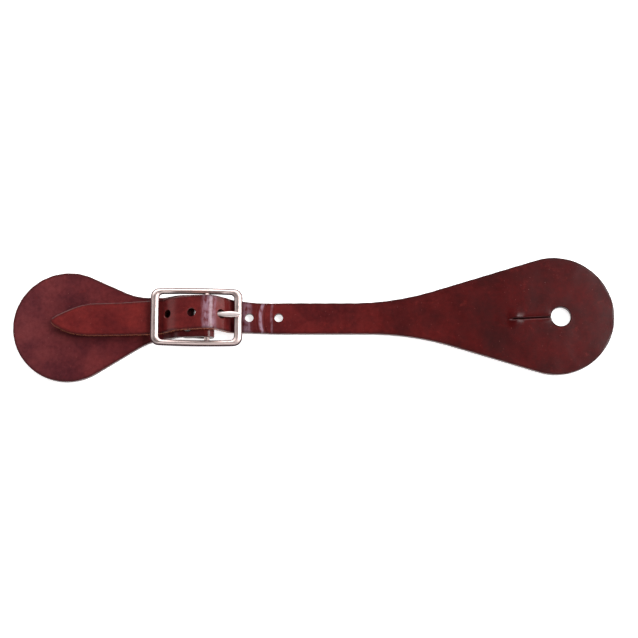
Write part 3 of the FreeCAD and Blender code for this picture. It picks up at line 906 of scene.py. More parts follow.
@dataclass(frozen=True)
class Punch:
    """A round hole through the leather, flared a little at both faces, in millimetres.

    Args:
        along: distance along the strap's path.
        side: distance across the strap.
        radius: the hole's radius.
        lean: how far the hole leans towards the strap's lobe, in degrees.
        sink: (radius, depth from the face) of a seat for a head, or None.
    """

    along: float
    side: float
    radius: float
    lean: float = 0.0
    sink: Pair | None = None
    FLARE: ClassVar[float] = 0.2

    def cut(self, piece: Piece, half_thickness: float) -> None:
        """Cut the hole out of a flat strap.

        Args:
            piece: the strap.
            half_thickness: half of the leather's thickness.
        """
        flare, beyond = self.FLARE, half_thickness + (3.0 if self.lean else 0.6)
        wide = self.radius + flare + beyond - half_thickness
        if self.lean:
            rings = [(self.radius, -beyond), (self.radius, beyond)]
        elif self.sink:
            seat, deep = self.sink
            rings = [(self.radius, -beyond), (self.radius, half_thickness - deep)]
            rings += [(seat, half_thickness - deep + 0.02), (seat, beyond)]
        else:
            rings = [(wide, -beyond), (self.radius, flare - half_thickness)]
            rings += [(self.radius, half_thickness - flare), (wide, beyond)]
        cutter = turned("punch", rings)
        turn = Matrix.Rotation(math.radians(self.lean), 4, "Y")
        place(cutter, Matrix.Translation((self.along * MM, self.side * MM, 0)) @ turn)
        punch(piece, cutter)


@dataclass(frozen=True)
class TongueSlot:
    """A straight slot through the leather, in millimetres.

    Args:
        start: where it starts along the strap's path.
        end: where it ends.
        side: its middle line's distance across the strap.
        width: how wide it is.
        depth: how deep the cut goes, which is more than the leather.
    """

    start: float
    end: float
    side: float
    width: float
    depth: float = 8.0

    def cut(self, piece: Piece, half_thickness: float) -> None:
        """Cut the slot out of a flat strap, whatever its half thickness."""
        middle = ((self.start + self.end) / 2, self.side, 0)
        punch(piece, box_cutter(middle, (self.end - self.start, self.width, self.depth)))


@dataclass
class Strap:
    """One piece of leather, cut flat, rounded at its edges, punched, and laid along its path, in millimetres.

    Args:
        name: the piece's name.
        corners: its path in side view, (x, z, bend radius), from its narrow end to beyond its lobe.
        top: its left edge in plan, from the narrow end to the lobe.
        low: its right edge in plan, from the narrow end to the lobe.
        end: the outline round its narrow end, from the right edge to the left one.
        lobe: the lobe's (x, y, radius).
        keyhole: its button hole.
        pole: how far from the narrow end the outline's spokes meet.
        leather: the leather's thickness.
        thinning: (from, to, part) of the path where it grows from a thinner part to its full thickness.
        spacing: how far apart the spokes are at the outline.
        top_round: radius of the outline's grain edge.
        low_round: radius of its flesh edge.
        swells: (x, height, reach) of each place where the grain side swells over a bend.
        waviness: how high the grain side's soft waves are.
        flat_ends: whether the narrow end is given flat, as for a strap that turns back under itself.
    """

    name: str
    corners: list[Triple]
    top: Points
    low: Points
    end: Points
    lobe: Triple
    keyhole: Keyhole
    pole: float
    leather: float = 3.0
    thinning: Triple = (0.0, 1.0, 1.0)
    spacing: float = 1.15
    top_round: float = 0.55
    low_round: float = 0.5
    swells: tuple[Triple, ...] = ()
    waviness: float = 0.10
    flat_ends: bool = False
    HOLE_ROOM: ClassVar[float] = 9.0
    SLIT_LEAD: ClassVar[float] = 40.0
    NEAR_RIM: ClassVar[tuple[float, ...]] = (0, 0.12, 0.3, 0.6, 1.0)

    def __post_init__(self) -> None:
        """Trace the path once."""
        self.run, self.path, self.heading = RoundedPath(tuple(self.corners)).trace()
        self.turned_back = int(np.argmin(self.path[:, 0]))

    def at_x(self, x: Points | float) -> Points:
        """The distance along the path at a place in plan, on the path's upper run."""
        return np.interp(x, self.path[self.turned_back :, 0], self.run[self.turned_back :])

    def flat(self, plan: Points) -> Points:
        """Points in plan, laid out flat along the path."""
        return np.stack([self.at_x(plan[:, 0]), plan[:, 1]], axis=1)

    def outline_and_core(self) -> tuple[Points, Points, Points, Points]:
        """Draw the flat outline and the core that the sheet's spokes start from.

        Returns:
            The outline, the core, and the distances along each that belong together.
        """
        lobe_x, lobe_y, radius = self.lobe
        touches = [edge[-1] - (lobe_x, lobe_y) for edge in (self.top, self.low)]
        first, last = [math.degrees(math.atan2(touch[1], touch[0])) for touch in touches]
        top, low = self.flat(self.top), self.flat(self.low)
        end = self.end if self.flat_ends else self.flat(self.end)
        if self.flat_ends:
            top, low = np.vstack([end[-1:], top]), np.vstack([end[:1], low])
        round_end = self.flat(arc((lobe_x, lobe_y), radius, first, last))
        outline = np.vstack([top, round_end[1:-1], low[::-1], end[1:]])
        distance = run_along(outline)
        slit_end = self.flat(self.keyhole.slit_end[None])[0]
        before_hole = self.at_x(self.keyhole.centre[0] - self.keyhole.radius) - self.HOLE_ROOM
        counts = np.cumsum([len(top), len(round_end) - 2, len(low), len(end) - 1])
        top_run, low_run = distance[: counts[0]], distance[counts[1] : counts[2]]
        far = distance[counts[0] + int(np.argmax(round_end[1:-1, 0]))]
        slit_and_hole = np.array([slit_end[0], before_hole])
        by_top = np.interp(slit_and_hole, top[:, 0], top_run)
        by_low = np.interp(slit_and_hole[::-1], low[:, 0], low_run[::-1])
        anchors = np.array([0.0, *by_top, far, *by_low, low_run[-1], distance[-1]])
        reach = np.linspace(self.pole, slit_end[0], 300)
        middle = (np.interp(reach, top[:, 0], top[:, 1]) + np.interp(reach, low[:, 0], low[:, 1])) / 2
        drift = smoothstep(slit_end[0] - self.SLIT_LEAD, slit_end[0], reach)
        middle += (slit_end[1] - middle[-1]) * drift
        spine = np.stack([reach, middle], axis=1)
        upper, lower = [np.vstack([spine, self.flat(self.keyhole.lip(side))[1:]]) for side in (1, -1)]
        core = np.vstack([upper, lower[::-1][1:]])
        run = run_along(core)
        slit, ring, half = run[[len(spine) - 1, len(spine) + Keyhole.LIP_POINTS - 2, len(upper) - 1]]
        marks = np.array([0.0, slit, ring, half, 2 * half - ring, 2 * half - slit, 2 * half, 2 * half])
        self.outline = outline
        self.cuts = np.vstack([upper[len(spine) - 1 :], lower[len(spine) - 1 :]])
        return outline, core, anchors, marks

    def sheet(self) -> Piece:
        """The flat sheet of leather, as spokes from its core to its outline.

        Returns:
            The sheet, as thick as the leather, with its middle at height 0.
        """
        outline, core, anchors, marks = self.outline_and_core()
        distance, run = run_along(outline), run_along(core)
        upper_stops = np.linspace(0, anchors[3], int(anchors[3] / self.spacing) + 1)
        upper_run = np.interp(upper_stops, anchors[:4], marks[:4])
        lower_run = 2 * marks[3] - upper_run[::-1]
        lower_stops = np.interp(lower_run, marks[3:7], anchors[3:7])
        end_count = max(12, int((anchors[7] - anchors[6]) / self.spacing))
        end_stops = np.linspace(anchors[6], anchors[7], end_count)
        stops = np.concatenate([upper_stops, lower_stops[1:], end_stops[1:]])
        inner_run = np.concatenate([upper_run, lower_run[1:], np.full(len(end_stops) - 1, marks[6])])
        outer = np.stack([np.interp(stops, distance, outline[:, k]) for k in (0, 1)], axis=1)
        inner = np.stack([np.interp(inner_run, run, core[:, k]) for k in (0, 1)], axis=1)
        outer[-1], inner[-1] = outer[0], inner[0]
        near = np.array(self.NEAR_RIM)
        length = np.hypot(*(outer - inner).T)[:, None]
        first = np.minimum(near[None] / length, near * 0.3)
        middle = first[:, -1:] + (1 - 2 * first[:, -1:]) * np.linspace(0, 1, 10)[None, 1:-1]
        part = np.hstack([first, middle, 1 - first[:, ::-1]])[:, :, None]
        plan = inner[:, None] * (1 - part) + outer[:, None] * part
        grid = np.concatenate([plan, np.zeros((*plan.shape[:2], 1))], axis=2)
        piece = shaped_grid(self.name, grid)
        modify(piece, "SOLIDIFY", thickness=self.leather * MM, offset=0.0, use_even_offset=False)
        return piece

    def rim_distance(self, places: Points, edge: Points) -> Points:
        """Measure how far the flat strap's vertices are from an edge.

        Args:
            places: the vertices.
            edge: the edge's points.

        Returns:
            One distance for each vertex.
        """
        found = []
        for chunk in np.array_split(places[:, :2], max(1, len(places) // 2000)):
            found.append(np.sqrt(((chunk[:, None] - edge[None]) ** 2).sum(axis=2).min(axis=1)))
        return np.concatenate(found)

    def round_edges(self, piece: Piece) -> None:
        """Round the cut edges over on both sides, the outline more than the button hole.

        Args:
            piece: the flat strap.
        """
        places = vertex_places(piece)
        for edge, top, low in ((self.outline, self.top_round, self.low_round), (self.cuts, 0.3, 0.2)):
            rim = self.rim_distance(places, edge)
            for side, radius in ((1, top), (-1, low)):
                near = (np.sign(places[:, 2]) == side) & (rim < radius)
                places[near, 2] -= side * (radius - np.sqrt(radius**2 - (radius - rim[near]) ** 2))
        set_vertex_places(piece, places)

    def mark(self, piece: Piece) -> None:
        """Keep on the flat mesh what its finish needs: the rim, the distance from the cuts for the painted
        shade beside them, the depth and the flat place.

        Args:
            piece: the flat strap.
        """
        places = vertex_places(piece)
        set_attribute(piece, "rim", np.minimum(self.rim_distance(places, self.outline), 20))
        # The distance from the button hole and slit places the painted shade beside them.
        set_attribute(piece, "cut", np.minimum(self.rim_distance(places, self.cuts), 20))
        set_attribute(piece, "depth", places[:, 2] / (self.leather / 2))
        corners = np.empty(len(piece.data.loops), int)
        piece.data.loops.foreach_get("vertex_index", corners)
        zero = 0.0 if self.flat_ends else float(self.at_x(0.0))
        flat = (places[:, :2] - [zero, 0.0]) / 100.0
        layer = piece.data.uv_layers.new(name="flat")
        layer.data.foreach_set("uv", flat[corners].astype(np.float32).ravel())

    def relieve(self, piece: Piece) -> None:
        """Give the grain side its soft waves and its swells over the bends, and raise the lips of the slit.

        Args:
            piece: the flat strap.
        """
        places = vertex_places(piece)
        top = places[:, 2] > self.leather * 0.2
        u, v = places[:, 0], places[:, 1]
        rise = np.zeros(len(places))
        for reach, weight in ((18.0, 1.0), (6.0, 0.5)):
            rise += weight * np.array([noise.noise((a / reach, b / reach, reach)) for a, b in zip(u, v)])
        rise *= self.waviness
        for x, height, reach in self.swells:
            rise += height * np.exp(-(((u - self.at_x(x)) / reach) ** 2))
        hole = self.flat(np.array([self.keyhole.centre]))[0]
        end = self.flat(self.keyhole.slit_end[None])[0]
        axis = (end - hole) / np.hypot(*(end - hole))
        back = (places[:, :2] - hole) @ axis
        side = (places[:, :2] - hole) @ np.array([-axis[1], axis[0]])
        length = np.hypot(*(end - hole))
        on_slit = smoothstep(4, 7, back) * (1 - smoothstep(length, length + 3, back))
        rise += on_slit * (0.38 * np.exp(-((side / 2.2) ** 2)) - 0.9 * np.exp(-((side / 0.55) ** 2)))
        pinch = np.hypot((back - length + 1.0) / 1.7, side)
        rise += 0.75 * np.exp(-(((pinch - 1.0) / 0.55) ** 2))
        places[top, 2] += rise[top]
        set_vertex_places(piece, places)

    def lay(self, piece: Piece) -> None:
        """Lay the flat strap along its path.

        Args:
            piece: the flat strap, with x along its path.
        """
        places = vertex_places(piece)
        u = places[:, 0]
        start, end, thin = self.thinning
        thickness = thin + (1 - thin) * smoothstep(start, end, u) if end > start else 1.0
        heading = np.interp(u, self.run, self.heading)
        off = places[:, 2] * thickness
        x = np.interp(u, self.run, self.path[:, 0]) - off * np.sin(heading)
        z = np.interp(u, self.run, self.path[:, 1]) + off * np.cos(heading)
        set_vertex_places(piece, np.stack([x, places[:, 1], z], axis=1))

    def make(self, holes: list[Punch | TongueSlot], finish: Material) -> Piece:
        """Cut, round, punch, finish and lay the strap.

        Args:
            holes: the holes and slots besides the button hole.
            finish: its material.

        Returns:
            The strap, in its own plan's directions.
        """
        piece = self.sheet()
        self.round_edges(piece)
        for hole in holes:
            hole.cut(piece, self.leather / 2)
        self.mark(piece)
        self.relieve(piece)
        self.lay(piece)
        dress(piece, finish)
        smooth(piece, 38)
        return piece


@dataclass(frozen=True)
class LongStrap:
    """The long strap: billet, neck and button lobe, in millimetres.

    Args:
        stack: how the straps lie at the buckle.
        lobe: the lobe's (x, y, radius).
        fillet: radius of the two hollow curves between the neck and the lobe.
        shoulders: where each edge turns towards the lobe, the left one first.
        top: the billet's left edge.
        low: the billet's right edge.
        tip: the pointed end, from the right edge to the left one.
        hole_side: how far to the side the billet's holes are.
        hole: their radius.
    """

    stack: Stack
    lobe: Triple = (122.7, 1.7, 30.3)
    fillet: float = 145.0
    shoulders: tuple[Pair, Pair] = ((40.5, 8.2), (49.6, -7.7))
    top: tuple[Pair, ...] = (
        (-113.0, 7.3), (-98.0, 7.8), (-83.5, 8.7), (-68.0, 9.6), (-55.0, 10.1), (-42.0, 9.8), (-34.0, 8.7),
        (-28.0, 8.2), (-21.0, 8.1), (-14.0, 8.2),
    )
    low: tuple[Pair, ...] = (
        (-113.0, -9.1), (-98.0, -8.9), (-83.5, -8.5), (-68.0, -7.4), (-55.0, -7.0), (-42.0, -7.1),
        (-30.0, -7.3), (-21.0, -7.6), (-14.0, -7.7),
    )
    tip: tuple[Pair, ...] = (
        (-113.0, -9.1), (-119.0, -8.7), (-124.0, -7.7), (-128.6, -5.7), (-132.0, -3.7), (-133.3, -1.9),
        (-131.9, -0.3), (-128.0, 2.0), (-123.4, 4.2), (-118.6, 6.1), (-113.0, 7.3),
    )
    hole_side: float = 1.3
    hole: float = 2.15

    def draw(self) -> Strap:
        """The flat pattern and its path.

        Returns:
            The strap, ready to make.
        """
        edges = []
        for points, corner, side in zip((self.top, self.low), self.shoulders, (1, -1)):
            neck = edge_to_lobe([(-14.0, corner[1], 0), (*corner, self.fillet)], self.lobe, side, 1.0)
            edges.append(np.vstack([smooth_curve(points), neck[1:]]))
        return Strap(
            "long_strap", self.stack.billet_corners(170.0), *edges, smooth_curve(self.tip), self.lobe,
            Keyhole((125.8, 1.3), 3.0), pole=9.5,
            swells=((-55.0, 0.38, 4.6), (-33.5, 0.22, 2.6), (-25.0, 0.18, 2.2)),
        )

    def holes(self, strap: Strap) -> list[Punch]:
        """The adjusting holes: two on the bench, the worn one that the tongue is in, and two behind it.

        Args:
            strap: the strap as drawn.

        Returns:
            The holes, from the neck to the tip.
        """
        stack = self.stack
        steep = strap.path[:, 0] > stack.bar.x
        tongue_z = stack.bar.z + 2.15
        worn = float(np.interp(-tongue_z, -strap.path[steep, 1], strap.run[steep]))
        slope_x = (stack.on_top(5, 3.2)[0] + stack.on_top(4, 2.9)[0]) / 2
        round_holes = ((-32.8, 0.6), (-17.8, 0.6), (stack.by_crest(-7.4, 0)[0], self.hole_side))
        holes = [Punch(float(strap.at_x(x)), side, self.hole) for x, side in round_holes]
        holes.insert(2, Punch(worn, self.hole_side, 2.4, lean=40.0))
        return [*holes, Punch(float(strap.at_x(slope_x)), self.hole_side, self.hole)]

    def build(self, finish: Material) -> Piece:
        """Cut, dress and blend the strap over its neck.

        Args:
            finish: its material.

        Returns:
            The strap in its place.
        """
        strap = self.draw()
        piece = strap.make(self.holes(strap), finish)
        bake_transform(piece)
        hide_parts("billet", "long_neck", "long_lobe")
        return piece


@dataclass(frozen=True)
class BuckleStrap:
    """The buckle strap: lobe, ear, and the fold round the centre bar, in millimetres.

    It is drawn turned half round, with its lobe ahead of the buckle.

    Args:
        stack: how the straps lie at the buckle.
        lobe: the lobe's (x, y, radius).
        half: half of the ear's width.
        side: the ear's middle line.
        shoulders: where each edge turns towards the lobe, the left one first.
        slot_end: where the tongue's slot ends in plan, on both runs of the fold.
        screw_back: the fold screws' distance from the centre bar.
        screw_side: their distance from the middle line.
    """

    stack: Stack
    lobe: Triple = (124.6, 4.25, 28.1)
    half: float = 10.8
    side: float = -0.2
    shoulders: tuple[Pair, Pair] = ((84.5, 12.6), (90.0, -11.0))
    slot_end: float = 60.2
    screw_back: float = 9.4
    screw_side: float = 5.3

    def draw(self) -> Strap:
        """The flat pattern and its path.

        Returns:
            The strap, ready to make.
        """
        stack, edges = self.stack, []
        for corner, above in zip(self.shoulders, (1, -1)):
            edge = self.side + above * self.half
            ear = [(55.0, edge, 0), (76.5, edge, 12), (*corner, 30)]
            edges.append(edge_to_lobe(ear, self.lobe, above, 0.5))
        low = self.side - self.half
        square = smooth_curve([(2.0, low), (0.5, low + 0.5), (0.0, low + 2.0)], 0.2)
        end = np.vstack([square, (square * [1, -1] + [0, 2 * self.side])[::-1]])
        corners = [(-x, z, radius) for x, z, radius in stack.fold_corners()]
        return Strap(
            "buckle_strap", corners, *edges, end, self.lobe,
            Keyhole((123.8, 1.6), 0.0, slit_length=17.6), pole=6.0,
            thinning=(34.0, 43.0, stack.fold_leather / stack.leather), flat_ends=True,
        )

    def holes(self, strap: Strap) -> list[Punch | TongueSlot]:
        """The screws' holes through both layers of the fold, and the tongue's slot.

        Args:
            strap: the strap as drawn.

        Returns:
            The holes and the slot.
        """
        upper = float(strap.at_x(-self.stack.by_crest(-self.screw_back, 0)[0]))
        holes = []
        for screw in (self.side - self.screw_side, self.side + self.screw_side):
            for along in (upper, self.stack.tab_back - self.screw_back):
                holes.append(Punch(along, screw, 2.1, sink=(2.9, 1.3)))
        under = slice(strap.turned_back)
        start = float(np.interp(-self.slot_end, -strap.path[under, 0], strap.run[under]))
        return [*holes, TongueSlot(start, float(strap.at_x(self.slot_end)), -1.3, 4.4)]

    def build(self, finish: Material) -> Piece:
        """Cut, dress and turn the strap, and blend it over its ear.

        Args:
            finish: its material.

        Returns:
            The strap in its place.
        """
        strap = self.draw()
        piece = strap.make(self.holes(strap), finish)
        place(piece, Matrix.Rotation(math.pi, 4, "Z"))
        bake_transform(piece)
        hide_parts("fold", "buckle_ear", "short_lobe")
        return piece


# ---- buckle


def on_bar(stack: Stack, side: float) -> Matrix:
    """From the buckle's own directions to the object's, at the centre bar."""
    move = Matrix.Translation((stack.bar.x * MM, side * MM, stack.bar.z * MM))
    return move @ Matrix.Rotation(math.radians(stack.frame_tilt), 4, "Y")


@dataclass(frozen=True)
class BuckleFrame:
    """The buckle's frame: two end bars and two bowed side rails, in millimetres from the centre bar."""

    back: float = 28.5
    front: float = 17.9
    half: float = 14.5
    bow: float = 0.5
    height: float = 3.0
    end_bar: float = 4.2
    side_rail: float = 2.9
    corner: float = 4.2
    window_corner: float = 2.0
    tenon: float = 0.9
    bar_end: float = 13.55
    rounding: float = 0.75
    bevel: float = 0.55
    crown: float = 0.42

    def ring(self, window: bool, inset: float) -> Points:
        """Draw one of the frame's two outlines.

        Args:
            window: whether it is the window's outline and not the outer one.
            inset: how far it is moved into the metal.

        Returns:
            The closed outline.
        """
        if window:
            low, high, half = self.end_bar - self.back, self.front - self.end_bar, self.half - self.side_rail
            radius, grow = self.window_corner, inset
        else:
            low, high, half, radius, grow = -self.back, self.front, self.half, self.corner, -inset
        centres = [(high - radius, half - radius), (low + radius, half - radius)]
        centres += [(low + radius, radius - half), (high - radius, radius - half)]
        corners = [arc(c, radius + grow, 90 * i, 90 * i + 90, 9.0) for i, c in enumerate(centres)]
        sides = []
        for here, after in zip(corners, corners[1:] + corners[:1]):
            part = np.linspace(0, 1, 14)[1:-1, None]
            sides += [here, here[-1] * (1 - part) + after[0] * part]
        ring = np.vstack([*sides, corners[0][:1]])
        middle, reach = (self.front - self.back) / 2, (self.front + self.back) / 2
        ring[:, 1] *= 1 + self.bow * (1 - ((ring[:, 0] - middle) / reach) ** 2) / self.half
        return ring

    def section(self) -> list[Four]:
        """The metal's section as (part of the way in, outer inset, inner inset, height), once round.

        Returns:
            The section's points, the first one again at the end.
        """
        shoulder, r, b = self.height / 2 - self.crown, self.rounding, self.bevel
        turns = np.radians(np.linspace(0, 80, 6))
        outside = [(0.0, r - r * math.cos(a), b, shoulder - r + r * math.sin(a)) for a in turns]
        parts = np.linspace(0, 1, 9)
        domed = [(t, r, b, shoulder + self.crown * (1 - abs(2 * t - 1) ** 2.2)) for t in parts]
        inside = [(1.0, r, b - b * math.cos(a), shoulder - b + b * math.sin(a)) for a in turns[::-1]]
        inside += [(1.0, r, 0.0, 0.4 - self.height / 2), (1.0, r, 0.25, -self.height / 2)]
        under = [(0.5, r, b, -self.height / 2), (0.0, r, b, -self.height / 2)]
        turned_under = [(0.0, i, b, -z - self.crown) for _, i, _, z in outside[::-1]]
        return outside + domed + inside + under + turned_under + outside[:1]

    def build(self, stack: Stack, finish: Material) -> Piece:
        """Shape the frame and set it on the centre bar.

        Args:
            stack: how the straps lie at the buckle.
            finish: its material.

        Returns:
            The frame.
        """
        columns = []
        for part, outer, inner, height in self.section():
            ring = (1 - part) * self.ring(False, outer) + part * self.ring(True, inner)
            columns.append(np.column_stack([ring, np.full(len(ring), height)]))
        piece = shaped_grid("frame_casting", np.stack(columns, axis=1))
        modify(piece, "SUBSURF", levels=1)
        loose, end = self.tenon + 0.03, self.bar_end + 0.05
        seat = turned("bar_seat", [(loose, -end), (loose, end)])
        place(seat, Matrix.Rotation(math.pi / 2, 4, "X"))
        punch(piece, seat)
        shoulder = self.height / 2 - self.crown
        height = vertex_places(piece)[:, 2]
        # The flank number places the plate's painted dark reflection below the crown.
        set_attribute(piece, "flank", 1 - smoothstep(shoulder - 0.16, shoulder + 0.12, height))
        place(piece, on_bar(stack, 0.0))
        return set_in(piece, finish, 50, "buckle", "buckle_frame")

    def build_bar(self, stack: Stack, finish: Material) -> Piece:
        """Turn the centre bar, with a thinner tenon at each end inside the rails.

        Args:
            stack: how the straps lie at the buckle.
            finish: its material.

        Returns:
            The centre bar.
        """
        inside = self.half - self.side_rail + 0.42
        full = stack.bar_radius
        half = [(self.tenon, self.bar_end), (self.tenon, inside), (full - 0.1, inside - 0.01)]
        half += [(full, inside - 0.15), (full, inside - 4.0), (full - 0.05, 3.0)]
        piece = turned("centre_rod", [(r, -at) for r, at in half] + [(r, at) for r, at in half[::-1]], 64)
        place(piece, on_bar(stack, 0.0) @ Matrix.Rotation(math.pi / 2, 4, "X"))
        return set_in(piece, finish, 40, "buckle", "centre_bar")


@dataclass(frozen=True)
class Tongue:
    """The buckle's flat tongue, curled round the centre bar and resting on the front bar, in millimetres."""

    side: float = 1.3
    curl: float = 2.06
    thickness: float = 1.2
    reach: float = 17.2
    rest: float = 2.22
    curl_from: float = -58.0
    tip_round: float = 1.1

    def stations(self) -> list[tuple[float, float, float, float, float]]:
        """(x, z, heading, half width, half thickness) from the curl's end to the tip.

        Returns:
            The stations, along the tongue's middle line.
        """
        half = self.thickness / 2
        made = [(*self.round_bar(self.curl_from + 3), 0.8, 0.35 * half)]
        for angle in np.linspace(self.curl_from, -270, 26):
            made.append((*self.round_bar(angle), 1.25, half))
        tip = self.reach - self.tip_round
        for part in np.linspace(0, 1, 24)[1:]:
            width = 1.05 + 0.45 * math.exp(-(((part - 0.72) / 0.26) ** 2))
            width -= 0.30 * max(0.0, part - 0.8) ** 2 / 0.04
            lift = self.curl + (self.rest - self.curl) * part
            made.append((part * tip, lift, 0.0, width, half * (1 - 0.12 * part)))
        for turn in np.radians([30, 55, 75, 88]):
            x, thin = tip + self.tip_round * math.sin(turn), 0.5 * half * (1 + math.cos(turn))
            made.append((x, self.rest, 0.0, width * math.cos(turn), thin))
        return made

    def round_bar(self, angle: float) -> Triple:
        """A place on the curl's middle line and its heading.

        Args:
            angle: the turn round the bar, in degrees.

        Returns:
            (x, z, heading).
        """
        turn = math.radians(angle)
        heading = math.atan2(-math.cos(turn), math.sin(turn))
        return self.curl * math.cos(turn), self.curl * math.sin(turn), heading

    def build(self, stack: Stack, finish: Material) -> Piece:
        """Shape the tongue and hang it on the centre bar.

        Args:
            stack: how the straps lie at the buckle.
            finish: its material.

        Returns:
            The tongue.
        """
        section = [(0.0, 1.0), (0.45, 0.94), (0.8, 0.72), (1.0, 0.25), (1.0, -0.5), (0.85, -0.9), (0.4, -1.0)]
        section += [(-s, t) for s, t in section[1:][::-1]] + section[:1]
        rows = []
        for x, z, heading, width, thick in self.stations():
            lean, rise = thick * math.sin(heading), thick * math.cos(heading)
            rows.append([(x - t * lean, -s * width, z + t * rise) for s, t in section])
        ends = [[tuple(np.mean(row[:-1], axis=0))] * len(section) for row in (rows[0], rows[-1])]
        piece = shaped_grid("tongue_blade", np.array([ends[0], *rows, ends[1]]))
        modify(piece, "SUBSURF", levels=1)
        place(piece, on_bar(stack, self.side))
        return set_in(piece, finish, 60, "buckle_tongue", "tongue")


@dataclass(frozen=True)
class FoldScrew:
    """A post screw that closes the fold: a post from the top and a screw from below, in millimetres."""

    back: float = 9.4
    head: float = 2.8
    head_height: float = 0.8
    sink: float = 0.9
    post: float = 2.0
    shank: float = 1.2
    driver: float = 0.7

    def dome(self, seat: float, up: int) -> list[Pair]:
        """A domed head's rings away from its seat."""
        shape = [(1.0, 0.0), (1.0, 0.5), (0.97, 0.68), (0.86, 0.84), (0.6, 0.95), (0.25, 1.0)]
        return [(self.head * r, seat + up * self.head_height * h) for r, h in shape]

    def build(self, stack: Stack, name: str, side: float, finish: Material) -> list[Piece]:
        """Turn one post and its screw and set them in the fold.

        Args:
            stack: how the straps lie at the buckle.
            name: the end of both names.
            side: their place across the strap.
            finish: their material.

        Returns:
            The post and the screw.
        """
        post_seat = stack.fold_radius + stack.fold_leather / 2 - self.sink
        screw_seat = stack.tab_height - stack.fold_leather / 2 + self.sink
        foot, post, bore = screw_seat + 0.1, self.post, self.shank + 0.02
        rings = [(post - 0.15, foot), (post, foot + 0.15), (post, post_seat), *self.dome(post_seat, 1)]
        barrel = turned(f"post_barrel_{name}", rings)
        punch(barrel, turned("bore", [(bore, foot - 1), (bore, post_seat - 0.6)]))
        rings = self.dome(screw_seat, -1)[::-1]
        rings += [(self.shank, screw_seat + 0.01), (self.shank, post_seat - 0.8)]
        screw = turned(f"screw_head_{name}", rings)
        lean = Matrix.Rotation(-math.radians(stack.crest_slope), 4, "Y")
        move = Matrix.Translation((stack.bar.x * MM, side * MM, stack.bar.z * MM)) @ lean
        move @= Matrix.Translation((-self.back * MM, 0, 0))
        pieces = []
        for piece, kind, slot_at in ((barrel, "post", post_seat + 0.8), (screw, "screw", screw_seat - 0.8)):
            cutter = box_cutter((0, 0, slot_at), (8, self.driver, self.driver))
            place(cutter, Matrix.Rotation(math.radians(35 + 40 * side), 4, "Z"))
            punch(piece, cutter)
            place(piece, move)
            pieces.append(set_in(piece, finish, 40, "strap", f"{kind}_{name}"))
        return pieces


# ---- studio


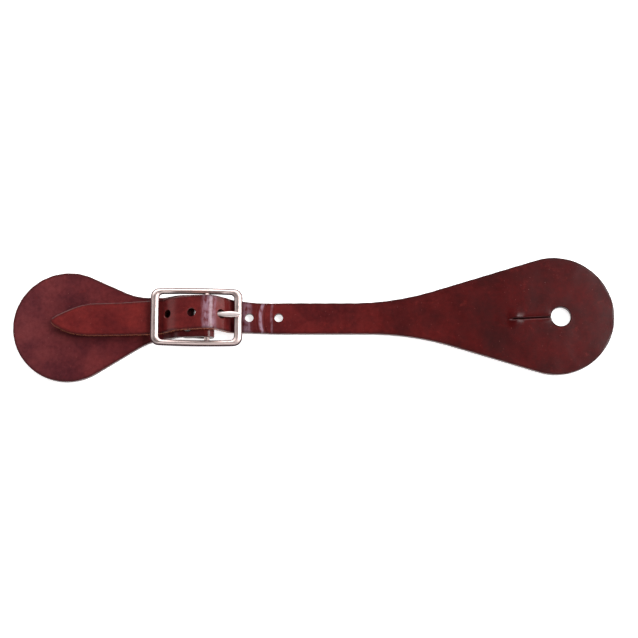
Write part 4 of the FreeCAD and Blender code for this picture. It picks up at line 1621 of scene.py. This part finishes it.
@dataclass(frozen=True)
class Studio:
    """The bench, the soft lights and the camera, in metres."""

    target: Triple = (0.0027, 0.00056, 0.0)
    distance: float = 0.904
    lean: float = 12.0
    lens: float = 100.0

    def camera(self) -> None:
        """Set the camera above the bench, leaning a little from the near side."""
        lean = math.radians(self.lean)
        away = Vector((0, -math.sin(lean), math.cos(lean))) * self.distance
        bpy.ops.object.camera_add(location=Vector(self.target) + away, rotation=(lean, 0, 0))
        camera = bpy.context.object
        camera.data.lens = self.lens
        camera.data.sensor_width = 36.0
        bpy.context.scene.camera = camera

    def light(self, name: str, place_m: Triple, size: Pair, power: float) -> None:
        """Hang a rectangular soft light that faces the object.

        Args:
            name: the light's name.
            place_m: where it hangs, in metres.
            size: its width and height in metres.
            power: its power in watts.
        """
        facing = (Vector((0, 0, 0)) - Vector(place_m)).to_track_quat("-Z", "Y").to_euler()
        bpy.ops.object.light_add(type="AREA", location=place_m, rotation=facing)
        lamp = bpy.context.object
        lamp.name = name
        lamp.data.shape = "RECTANGLE"
        lamp.data.size, lamp.data.size_y = size
        lamp.data.energy = power

    def bench(self) -> None:
        """The pale bench that the strap lies on."""
        deselect_all()
        bpy.ops.mesh.primitive_plane_add(size=6.0, location=(0, 0, -0.0002))
        bench = bpy.context.object
        bench.name = "bench"
        nodes = Nodes("bench_paint")
        place_m = nodes.add("TexCoord").outputs["Object"]
        tone = nodes.mix(nodes.noise(place_m, 3.0), (0.93, 0.93, 0.93, 1), (0.95, 0.95, 0.95, 1))
        paint = {"Base Color": tone, "Roughness": 0.9, "Specular IOR Level": 0.1}
        paint |= {"Emission Color": (1, 1, 1, 1), "Emission Strength": 0.75}
        dress(bench, nodes.surface(paint))

    def sky(self) -> None:
        """Light a studio tent: bright round the walls, and dim overhead, where flat leather mirrors it."""
        world = bpy.data.worlds.new("studio")
        world.use_nodes = True
        tree = world.node_tree
        height = tree.nodes.new("ShaderNodeSeparateXYZ")
        tree.links.new(tree.nodes.new("ShaderNodeTexCoord").outputs["Generated"], height.inputs[0])
        fall = tree.nodes.new("ShaderNodeMapRange")
        fall.interpolation_type = "SMOOTHSTEP"
        for key, value in (("From Min", 0.35), ("From Max", 0.85), ("To Min", 0.9), ("To Max", 0.07)):
            fall.inputs[key].default_value = value
        tree.links.new(height.outputs["Z"], fall.inputs["Value"])
        background = tree.nodes["Background"]
        background.inputs[0].default_value = (1, 1, 1, 1)
        tree.links.new(fall.outputs["Result"], background.inputs[1])
        bpy.context.scene.world = world

    def build(self) -> None:
        """Set up the whole studio."""
        bpy.context.scene.view_settings.view_transform = "Standard"
        self.sky()
        self.light("softbox", (0.56, 0.17, 0.74), (0.40, 0.42), 5.0)
        self.light("north", (-0.2, 1.2, 0.75), (2.4, 1.0), 18.0)
        self.light("south_fill", (0.1, -1.3, 0.45), (1.8, 0.5), 2.5)
        self.bench()


def main() -> None:
    """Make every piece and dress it."""
    logging.basicConfig(level=logging.INFO, format="%(message)s")
    studio, stack, buckle = Studio(), Stack(), BuckleFrame()
    studio.camera()
    nickel, steel = NICKEL.make(), SCREW_PLATE.make()
    made = [
        LongStrap(stack).build(LONG_LEATHER.make()),
        BuckleStrap(stack).build(SHORT_LEATHER.make()),
        buckle.build(stack, nickel),
        buckle.build_bar(stack, nickel),
        Tongue().build(stack, TONGUE_PLATE.make()),
    ]
    for name, side in (("right", -5.1), ("left", 5.5)):
        made += FoldScrew().build(stack, name, side, steel)
    for piece in made:
        log.info("%s: %d faces", piece.name, len(piece.data.polygons))
    studio.build()


if __name__ == "__main__":
    main()
